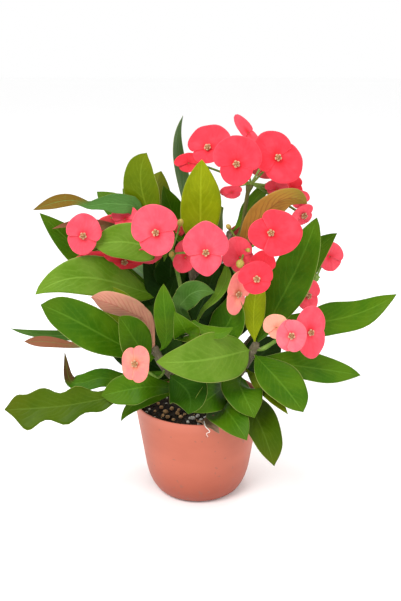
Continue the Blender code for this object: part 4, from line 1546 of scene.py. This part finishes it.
    def build(self, name: str, slot: str, stands_for: tuple[str, ...] = ()) -> None:
        """Draws the whole flower as one piece.

        Args:
            name: The piece's name.
            slot: The record's material slot.
            stands_for: Frame nodes that it replaces.
        """
        skin = Skin()
        self.centre -= self.head_top * self.shift * self.half_tall
        self.bract(skin, 1, 1.0 + self.shift, 0.7 * MM)
        self.bract(skin, -1, 0.98 - self.shift, -0.5 * MM)
        if not self.bare:
            self.heart(skin)
        path = [self.centre - self.face * 0.4 * MM, *self.stalk]
        path.append(path[-1] + (path[-1] - path[-2]).normalized() * 1.5 * MM)
        skin.tube(path, lambda t, a: (1.05 - 0.25 * t + 0.3 * bell(t, 0.12)) * MM, 10, 20, 3)
        materials = [self.finish, Ground.CUP, Ground.GLAND, Ground.GREENWOOD]
        skin.piece(name, [material_of(kind) for kind in materials], slot, stands_for)


@dataclass(frozen=True)
class Bloom:
    """An added flower: a bract pair that the frame leaves out.

    Attributes:
        stalk: Frame stalk whose head carries it.
        centre: Its middle, in millimetres.
        face: Direction that it looks to.
        size: Width and height, in millimetres.
        finish: Its colour.
        spin: Turn about its face, in degrees.
        bare: Whether the cup is out of sight.
    """

    stalk: str
    centre: Place3
    face: Place3
    size: Place
    finish: Bracts
    spin: float = 0.0
    bare: bool = False

    def pair(self, stems: Woodwork, turn: int) -> BractPair:
        """Places the pair, with its pedicel down to the stalk's head.

        Args:
            stems: The stalks, read from the frame.
            turn: Number that varies the pair.

        Returns:
            The pair.
        """
        centre = Vector(self.centre) * MM
        face = Vector(self.face).normalized()
        top = Matrix.Rotation(math.radians(self.spin), 3, face) @ square_to(face, UP)
        end = stems.lines[self.stalk][2]
        reach = (end - centre).length
        neck = centre - face * 2.5 * MM
        path = [neck, neck - face * 0.4 * reach, end + (neck - end) * 0.25, end]
        stalk = [bezier(path, t / 5) for t in range(6)]
        half_wide, half_tall = (value * MM / 2 for value in self.size)
        return BractPair(centre, face, top, half_wide, half_tall, stalk, self.finish, turn,
                         bare=self.bare)


@dataclass(frozen=True)
class PairLook:
    """How one of the frame's flowers differs from its fellows.

    Attributes:
        finish: Its colour.
        shift: How far the cup lies below the outline's middle.
        spread: Half of the angle that one bract covers, in degrees.
        sideways: Whether its bracts stand side by side.
        dent: Depth of the notch in the bracts' ends.
        lower: Width of the lower bract against the upper one.
        grow: Width and height against the frame's flower.
        spin: Turn about its face, in degrees.
        bare: Whether the cup is out of sight.
    """

    finish: Bracts = Bracts.CORAL
    shift: float = 0.06
    spread: float = 102.0
    sideways: bool = False
    dent: float = 0.0
    lower: float = 0.90
    grow: Place = (0.95, 0.96)
    spin: float = 0.0
    bare: bool = False

    def pair(self, name: str, number: int) -> BractPair:
        """Shapes one of the frame's flowers by this look.

        Args:
            name: The flower's node in the frame.
            number: Number that varies the pair.

        Returns:
            The pair.
        """
        pair = BractPair.of_node(name, self.finish, number)
        pair.shift, pair.spread, pair.dent = self.shift, self.spread, self.dent
        pair.lower, pair.bare = self.lower, self.bare
        pair.half_wide *= self.grow[0]
        pair.half_tall *= self.grow[1]
        if self.sideways:
            pair.head_top = pair.head_top.cross(pair.face)
            pair.half_wide, pair.half_tall = pair.half_tall, pair.half_wide
        pair.head_top = Matrix.Rotation(math.radians(self.spin), 3, pair.face) @ pair.head_top
        return pair


PAIR_LOOKS = {
    "flower_top_front": PairLook(Bracts.ROSE, 0.12, 104, lower=0.86, grow=(0.91, 0.95)),
    "flower_top_right": PairLook(Bracts.ROSE, 0.0, 100, lower=1.0, grow=(0.92, 1.14), spin=10),
    "flower_top_left": PairLook(Bracts.ROSE, 0.16, 100, lower=0.95, grow=(1.04, 1.0), spin=-14),
    "flower_left_upper": PairLook(Bracts.CORAL, 0.10, 101, lower=0.95, spin=8),
    "flower_left_outer": PairLook(Bracts.CORAL, 0.08, 102, lower=0.97, grow=(1.02, 1.0), spin=-10),
    "flower_middle": PairLook(Bracts.CORAL, 0.14, 100, dent=-0.12, lower=0.92, spin=12),
    "flower_inner_right": PairLook(Bracts.ROSE, 0.14, 116, True, lower=0.97, grow=(0.96, 0.98)),
    "flower_inner_low": PairLook(Bracts.ROSE, 0.08, 108, lower=0.95),
    "flower_right_front": PairLook(Bracts.SALMON, 0.0, 116, True, lower=1.0),
    "flower_right_back": PairLook(Bracts.CORAL, 0.0, 100, lower=0.95),
    "flower_right_far": PairLook(Bracts.CORAL, 0.0, 112, lower=0.9, grow=(1.1, 1.0), bare=True),
    "flower_low_pale": PairLook(Bracts.PALE, 0.06, 98, True, 0.05, 1.0),
}


BLOOMS = (
    Bloom("stalk_top", (38, 11, 298), (0.30, -0.8, 0.35), (11, 31), Bracts.CORAL, 40, True),
    Bloom("stalk_top", (26, -1, 254), (-0.2, -0.9, -0.4), (19, 13), Bracts.CORAL, 10, True),
    Bloom("stalk_top", (74, 14, 254), (0.1, -1, 0.2), (20, 20), Bracts.ROSE, 30, True),
    Bloom("stalk_top", (80, 8, 246), (0.3, -1, 0.1), (16, 15), Bracts.CORAL),
    Bloom("stalk_top", (83, 8, 234), (0.4, -1, -0.1), (20, 17), Bracts.CORAL, 20),
    Bloom("stalk_inner", (32, -18, 207), (0.2, -0.9, 0.2), (26, 32), Bracts.CORAL, 30, True),
    Bloom("stalk_inner", (50, -16, 199), (0.2, -0.9, 0.2), (22, 24), Bracts.ROSE),
    Bloom("stalk_inner", (31, -27, 181), (0.5, -0.9, 0.0), (21, 36), Bracts.PALE, -14),
    Bloom("stalk_right", (60, -38, 157), (-0.3, -0.9, 0.3), (20, 20), Bracts.CREAM, 30, True),
    Bloom("stalk_middle", (-9, -18, 207), (-0.3, -0.9, 0.3), (22, 27), Bracts.CORAL, -20, True),
    Bloom("stalk_left", (-57, 8, 231), (-0.1, -0.9, 0.5), (22, 20), Bracts.CORAL, bare=True),
    Bloom("stalk_left", (-84, 0, 199), (0.2, -0.7, -0.3), (30, 20), Bracts.ROSE, 10),
    Bloom("stalk_left", (-58, 0, 199), (0.1, -0.8, -0.3), (34, 18), Bracts.ROSE, -8),
    Bloom("stalk_left", (-38, 0, 204), (0.1, -0.8, -0.3), (28, 18), Bracts.CORAL, 12),
    Bloom("stalk_rear", (80, 46, 202), (0.2, 1, 0.3), (28, 28), Bracts.ROSE),
    Bloom("stalk_left", (-70, 34, 214), (-0.2, 1, 0.3), (30, 30), Bracts.ROSE),
    Bloom("stalk_middle", (-24, 22, 216), (0, 1, 0.5), (28, 28), Bracts.ROSE),
    Bloom("stalk_inner", (38, 44, 206), (0.1, 1, 0.4), (26, 26), Bracts.CORAL),
    Bloom("stalk_top", (-7, 14, 274), (-0.2, -1, 0.1), (23, 15), Bracts.ROSE, 12, True),
    Bloom("stalk_top", (61, 2, 256), (0.1, -1, 0.1), (20, 14), Bracts.CORAL, -10, True),
)

BUDS = (  # stalk, place and radius in millimetres
    ("stalk_inner", (32, -34, 206), 3.2), ("stalk_inner", (38, -32, 216), 1.7),
    ("stalk_middle", (-13, -15, 233), 2.4), ("stalk_inner", (24, -8, 228), 2.0),
    ("stalk_middle", (-20, -18, 209), 2.2), ("stalk_left", (-84, -6, 212), 2.2),
    ("stalk_right", (62, -30, 152), 2.0), ("stalk_top", (34, -6, 262), 2.2),
)


@dataclass
class Flowers:
    """All bract pairs and the buds among them."""

    def build(self, plan: dict[str, str], stems: Woodwork) -> int:
        """Draws every flower and bud.

        Args:
            plan: Material slot of each frame flower.
            stems: The stalks, whose heads carry the added ones.

        Returns:
            The number of flowers.
        """
        for number, (name, slot) in enumerate(sorted(plan.items())):
            pair = PAIR_LOOKS.get(name, PairLook()).pair(name, number)
            pair.build("bracts_" + name.removeprefix("flower_"), slot, (name,))
        for number, bloom in enumerate(BLOOMS):
            slot = "pale" if bloom.finish is Bracts.PALE else "rose"
            bloom.pair(stems, number + len(plan)).build(f"bloom_{number + 1:02d}", slot)
        skin = Skin()
        for stalk, place, radius in BUDS:
            centre, end = Vector(place) * MM, stems.lines[stalk][2]
            skin.blob(centre, centre - end, (radius * MM, 1.3 * radius * MM), 0, 10, 6)
            skin.tube([end, end.lerp(centre, 0.6) - UP * MM, centre], lambda t, a: 0.8 * MM, 8, 8, 1)
        skin.piece("buds", [material_of(Ground.BUD), material_of(Ground.GREENWOOD)], "stalk")
        return len(plan) + len(BLOOMS)


# --- Pot and soil ---


def turned_ring(radius: float, height: float, sides: int,
                lumps: Callable[[float, float], float] | None = None) -> Ring:
    """Draws one ring of a turned surface.

    Args:
        radius: Its radius.
        height: Its height.
        sides: Points in it.
        lumps: Height of the loose surface about its level at (x, y), or None.

    Returns:
        The ring.
    """
    ring = []
    for k in range(sides):
        a = FULL_TURN * k / sides
        x, y = radius * math.cos(a), radius * math.sin(a)
        z = height + (lumps(x, y) if lumps else 0.0)
        ring.append((Vector((x, y, z)), (k / sides, radius * 10), 0.0))
    return ring


@dataclass
class Pot:
    """The thin pot, turned finely along the line of its solid.

    Attributes:
        sides: Cells round the pot.
        holes: Drain holes.
        hole_radius: Their radius.
        hole_circle: Radius of the circle they stand on.
        hole_turn: Angle of the first one, in degrees.
        smoothing: Rounds of smoothing where the rounded foot meets the straight side.
        step: Longest stretch of the line between two rings.
        shoulder: Heights between which the line is smoothed.
        line: (radius, height) pairs from the foot up the outside, over the rim and down the inside.
    """

    sides: int = 128
    holes: int = 6
    hole_radius: float = 4 * MM
    hole_circle: float = 20 * MM
    hole_turn: float = 11.0
    smoothing: int = 40
    step: float = 2 * MM
    shoulder: Place = (3.0 * MM, 45 * MM)
    line: list[Place] = field(default_factory=list)

    def read(self) -> None:
        """Walks along one seam of the solid's wall."""
        shape = bmesh.new()
        shape.from_mesh(frame["nodes"]["pot"].data)
        bmesh.ops.remove_doubles(shape, verts=shape.verts, dist=WELD)
        floor_edge = 26 * MM
        seam = [v for v in shape.verts if abs(v.co.y) < 1e-6 and v.co.x > floor_edge]
        walk = [min(seam, key=lambda v: (round(v.co.z, 5), -v.co.x))]
        while walk:
            beside = [e.other_vert(walk[-1]) for e in walk[-1].link_edges]
            beside = [v for v in beside if v in seam and v not in walk]
            if not beside:
                break
            walk.append(beside[0])
        self.line = [(v.co.x, v.co.z) for v in walk]
        shape.free()

    def fine_line(self) -> list[Place]:
        """Makes the rounding of the wall's line finer.

        Returns:
            The new line, of (radius, height) pairs.
        """
        points = [Vector((r, z)) for r, z in self.line]
        fine = []
        for here, there in zip(points, points[1:]):
            steps = max(4, round((there - here).length / self.step))
            fine += [tuple(here.lerp(there, j / steps)) for j in range(steps)]
        fine.append(tuple(points[-1]))
        for _ in range(self.smoothing):
            for i in range(1, len(fine) - 1):
                (r0, z0), (_, z), (r1, z1) = fine[i - 1:i + 2]
                if self.shoulder[0] < z < self.shoulder[1] and z0 != z1:
                    beside = r0 + (r1 - r0) * (z - z0) / (z1 - z0)
                    fine[i] = ((fine[i][0] + beside) / 2, z)
        return fine

    def build(self) -> None:
        """Turns the pot, cuts its drain holes and ties it to the frame."""
        line = self.fine_line()
        floor = line[-1][1]
        inner, outer = 9 * MM, 29 * MM  # two rings that part the flat floor
        line = [(inner, 0), (outer, 0), *line, (outer, floor), (inner, floor)]
        skin = Skin()
        rings = [turned_ring(r, z, self.sides) for r, z in line]
        skin.loft(rings, Vector((0, 0, 0)), Vector((0, 0, floor)))
        shell = skin.piece("pot_shell", [material_of(Ground.POT)], "pot", ("pot",))
        for k in range(self.holes):
            a = FULL_TURN * k / self.holes + math.radians(self.hole_turn)
            middle = Vector((math.cos(a), math.sin(a), 0)) * self.hole_circle
            self.cut(shell, middle)

    def cut(self, shell: bpy.types.Object, middle: Vector) -> None:
        """Cuts one round hole through the floor.

        Args:
            shell: The pot.
            middle: The hole's middle.
        """
        rod = Skin()
        ring = turned_ring(self.hole_radius, 0, 24)
        rings = [[(middle + p + UP * z, uv, w) for p, uv, w in ring] for z in (-4 * MM, 6 * MM)]
        rod.loft(rings, middle - UP * 4 * MM, middle + UP * 6 * MM)
        cutter = rod.piece("cutter", [material_of(Ground.POT)], "pot")
        modifier = shell.modifiers.new("hole", "BOOLEAN")
        modifier.operation, modifier.solver, modifier.object = "DIFFERENCE", "EXACT", cutter
        evaluated = shell.evaluated_get(bpy.context.evaluated_depsgraph_get())
        mesh = bpy.data.meshes.new_from_object(evaluated)
        shell.modifiers.remove(modifier)
        shell.data = mesh
        bpy.data.objects.remove(cutter)


PEBBLES = (  # x, y and radius in millimetres, and 0 for tan or 1 for perlite
    (-34, 13, 1.8, 0), (-31, 5, 2.0, 0), (-27, -2, 2.3, 0), (-22, 2, 2.1, 0), (-17, -6, 2.2, 0),
    (-25, -12, 2.1, 0), (-20, -16, 1.7, 0), (-16, 0, 1.8, 0), (-29, -8, 1.6, 0), (-14, -13, 2.0, 0),
    (-11, -7, 1.5, 0), (-36, -2, 1.5, 0), (-8, -22, 1.6, 1), (-4, -15, 2.4, 1), (0, -11, 2.0, 1),
    (3, -18, 2.2, 1), (7, -13, 1.7, 1), (1, -24, 1.4, 1),
)
GRAINS = (  # name, finish, grains on a square metre and radius
    ("peat_crumbs", Ground.PEAT, 60000.0, 1.25 * MM),
    ("tan_grains", Ground.TAN, 3600.0, 1.4 * MM),
    ("perlite_grains", Ground.PERLITE, 3400.0, 1.5 * MM),
)


@dataclass
class Soil:
    """Dark peat with mounds, crumbs, tan grains and white perlite, and a dry scrap on the rim.

    Attributes:
        gap: Space between the soil's side and the pot.
        sides: Cells round it.
        rows: Rings over its top.
    """

    gap: float = 0.25 * MM
    sides: int = 112
    rows: int = 40

    @staticmethod
    def lumps(x: float, y: float) -> float:
        """Reads the loose surface's height about its level.

        Args:
            x: Place in metres.
            y: Place in metres.

        Returns:
            The height in metres.
        """
        at = Vector((x, y, 0))
        high = 1.3 * noise.noise(at * 85) + 0.9 * noise.noise(at * 260) + 0.5 * noise.noise(at * 700)
        return high * MM

    def build(self, pot: Pot) -> None:
        """Draws the soil and scatters its grains.

        Args:
            pot: The pot, whose line it follows.
        """
        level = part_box("soil")[1].z - 0.9 * MM
        crest = max(range(len(pot.line)), key=lambda i: pot.line[i][1])
        inside = [(r - self.gap, z) for r, z in pot.line[crest:][::-1] if z < level - 2 * MM]
        rim = inside[-1][0] + (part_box("pot")[1].x - 2.4 * MM - inside[-1][0]) * 0.70
        rings = [turned_ring(r, z + self.gap, self.sides) for r, z in inside]
        for i in range(self.rows):
            share = 1 - i / self.rows
            sunk = 1.2 * MM * bell(1 - share, 0.04)
            rings.append(turned_ring(rim * share, level - sunk, self.sides, self.lumps))
        top = Vector((0, 0, level + self.lumps(0, 0)))
        skin = Skin()
        skin.loft(rings, Vector((0, 0, inside[0][1] + self.gap)), top)
        skin.piece("soil_bed", [material_of(Ground.SOIL)], "soil", ("soil",))
        top_only, rounds = Skin(), 12
        flat = [turned_ring(rim * 0.97 * (1 - i / rounds), level, 48, self.lumps) for i in range(rounds)]
        top_only.loft(flat, Vector((0, 0, level - 3 * MM)), top)
        carrier = top_only.piece("carrier", [material_of(Ground.SOIL)], "soil")
        for name, finish, density, radius in GRAINS:
            values = {"Density": density, "Radius": radius, "Seed": len(name)}
            tie(scatter(carrier, name, "crumb", values, material_of(finish)))
        bpy.data.objects.remove(carrier)
        self.add_pebbles(level)
        self.add_scrap()

    def add_pebbles(self, level: float) -> None:
        """Draws the larger grains that lie in front of the trunk.

        Args:
            level: Height of the soil's surface in metres.
        """
        skin = Skin()
        for number, (x, y, radius, kind) in enumerate(PEBBLES):
            spot = Vector((x * MM, y * MM, level + self.lumps(x * MM, y * MM) + 0.5 * radius * MM))
            axis = Vector((math.sin(2.3 * number), math.cos(2.3 * number), 0.3 * math.sin(number)))
            skin.blob(spot, axis, (radius * MM * 0.8, radius * MM), kind, 9, 6)
        skin.piece("pebbles", [material_of(Ground.TAN), material_of(Ground.PERLITE)], "soil")

    def add_scrap(self) -> None:
        """Draws the dry leaf scrap that hangs over the rim, and its pale fibre."""
        skin = Skin()
        path = [Vector(p) * MM for p in ((1, -38, 76), (5, -46, 84), (9, -53.5, 84.5), (17, -57.5, 76))]
        blade = Blade.drawn(path, Vector((0.3, -0.5, 1)), 14 * MM, cup=0.3, widest=0.45)
        blade.wave, blade.waves = 1.6 * MM, 3.2
        blade.draw(skin, 0, 0.8)
        bends = ((5, -52, 84), (6, -56.5, 82), (9.5, -57.5, 78), (7, -57.2, 76), (8, -57, 73))
        fibre = [Vector(point) * MM for point in bends]
        skin.tube(fibre, lambda t, a: 0.4 * MM * (1 - 0.5 * t), 6, 24, 1)
        skin.piece("dry_scrap", [material_of(Leafage.DRY), material_of(Ground.PERLITE)], "soil")


# --- Studio ---


@dataclass
class Studio:
    """Pale floor, soft light and the camera.

    Attributes:
        eye: The camera's place.
        pitch: How far it looks down, in degrees.
        lens: Its focal length in millimetres, on a sensor 36 mm wide.
        floor_size: Half of the floor's side.
        lamps: Name, place, side in metres and power in watts of each light.
    """

    eye: Place3 = (0.0023, -0.610, 0.373)
    pitch: float = 18.8
    lens: float = 47.9
    floor_size: float = 6.0
    lamps: tuple[tuple[str, Place3, float, float], ...] = (
        ("key", (-0.55, -0.75, 1.15), 0.55, 12.0), ("fill", (0.9, -0.6, 0.7), 0.9, 2.0),
        ("top", (0.1, 0.5, 1.3), 0.7, 6.0))

    def build(self) -> None:
        """Sets the stage."""
        scene = bpy.context.scene
        mesh = bpy.data.meshes.new("floor")
        half = self.floor_size
        corners = [(-half, -half, 0), (half, -half, 0), (half, half, 0), (-half, half, 0)]
        mesh.from_pydata(corners, [], [(0, 1, 2, 3)])
        floor = bpy.data.objects.new("floor", mesh)
        scene.collection.objects.link(floor)
        floor.location.z = -0.2 * MM
        paper = Graph("floor_paper", 0.9, 0.1)
        mesh.materials.append(paper.dress((0.985, 0.985, 0.985)))
        world = bpy.data.worlds.new("room")
        world.use_nodes = True
        world.node_tree.nodes["Background"].inputs["Color"].default_value = (1, 1, 1, 1)
        world.node_tree.nodes["Background"].inputs["Strength"].default_value = 1.0
        scene.world = world
        for lamp in self.lamps:
            self.lamp(*lamp)
        scene.view_settings.view_transform = "Standard"
        lens = bpy.data.cameras.new("view")
        lens.lens = self.lens
        lens.sensor_width = 36
        lens.clip_start, lens.clip_end = 0.01, 50
        camera = bpy.data.objects.new("view", lens)
        camera.location = self.eye
        camera.rotation_euler = (math.radians(90 - self.pitch), 0, 0)
        scene.collection.objects.link(camera)
        scene.camera = camera

    def lamp(self, name: str, place: Place3, size: float, power: float) -> None:
        """Adds a square soft light that looks at the plant.

        Args:
            name: The light's name.
            place: Where it hangs.
            size: Its side in metres.
            power: Its power in watts.
        """
        light = bpy.data.lights.new(name, "AREA")
        light.size, light.energy = size, power
        thing = bpy.data.objects.new(name, light)
        thing.location = place
        thing.rotation_euler = (Vector((0, 0, 0.15)) - Vector(place)).to_track_quat("-Z", "Y").to_euler()
        bpy.context.scene.collection.objects.link(thing)


def slots_of(prefix: str) -> dict[str, str]:
    """The material slot of each frame node whose name starts with a prefix."""
    rows = frame["record"]["subparts"]
    return {row["node"]: row["material_slot"] for row in rows if row["node"].startswith(prefix)}


def main() -> None:
    """Builds every sub-assembly and reports it."""
    logging.basicConfig(level=logging.INFO, format="%(name)s %(message)s")
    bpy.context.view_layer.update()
    stems = Woodwork()
    stems.read()
    log.info("stems and stalks: %d", stems.build())
    log.info("leaves: %d", Foliage().build(slots_of("leaf_"), stems))
    log.info("flowers: %d", Flowers().build(slots_of("flower_"), stems))
    pot = Pot()
    pot.read()
    pot.build()
    log.info("pot: %d points in its line", len(pot.line))
    Soil().build(pot)
    log.info("soil, grains and scrap")
    Studio().build()


if __name__ == "__main__":
    main()
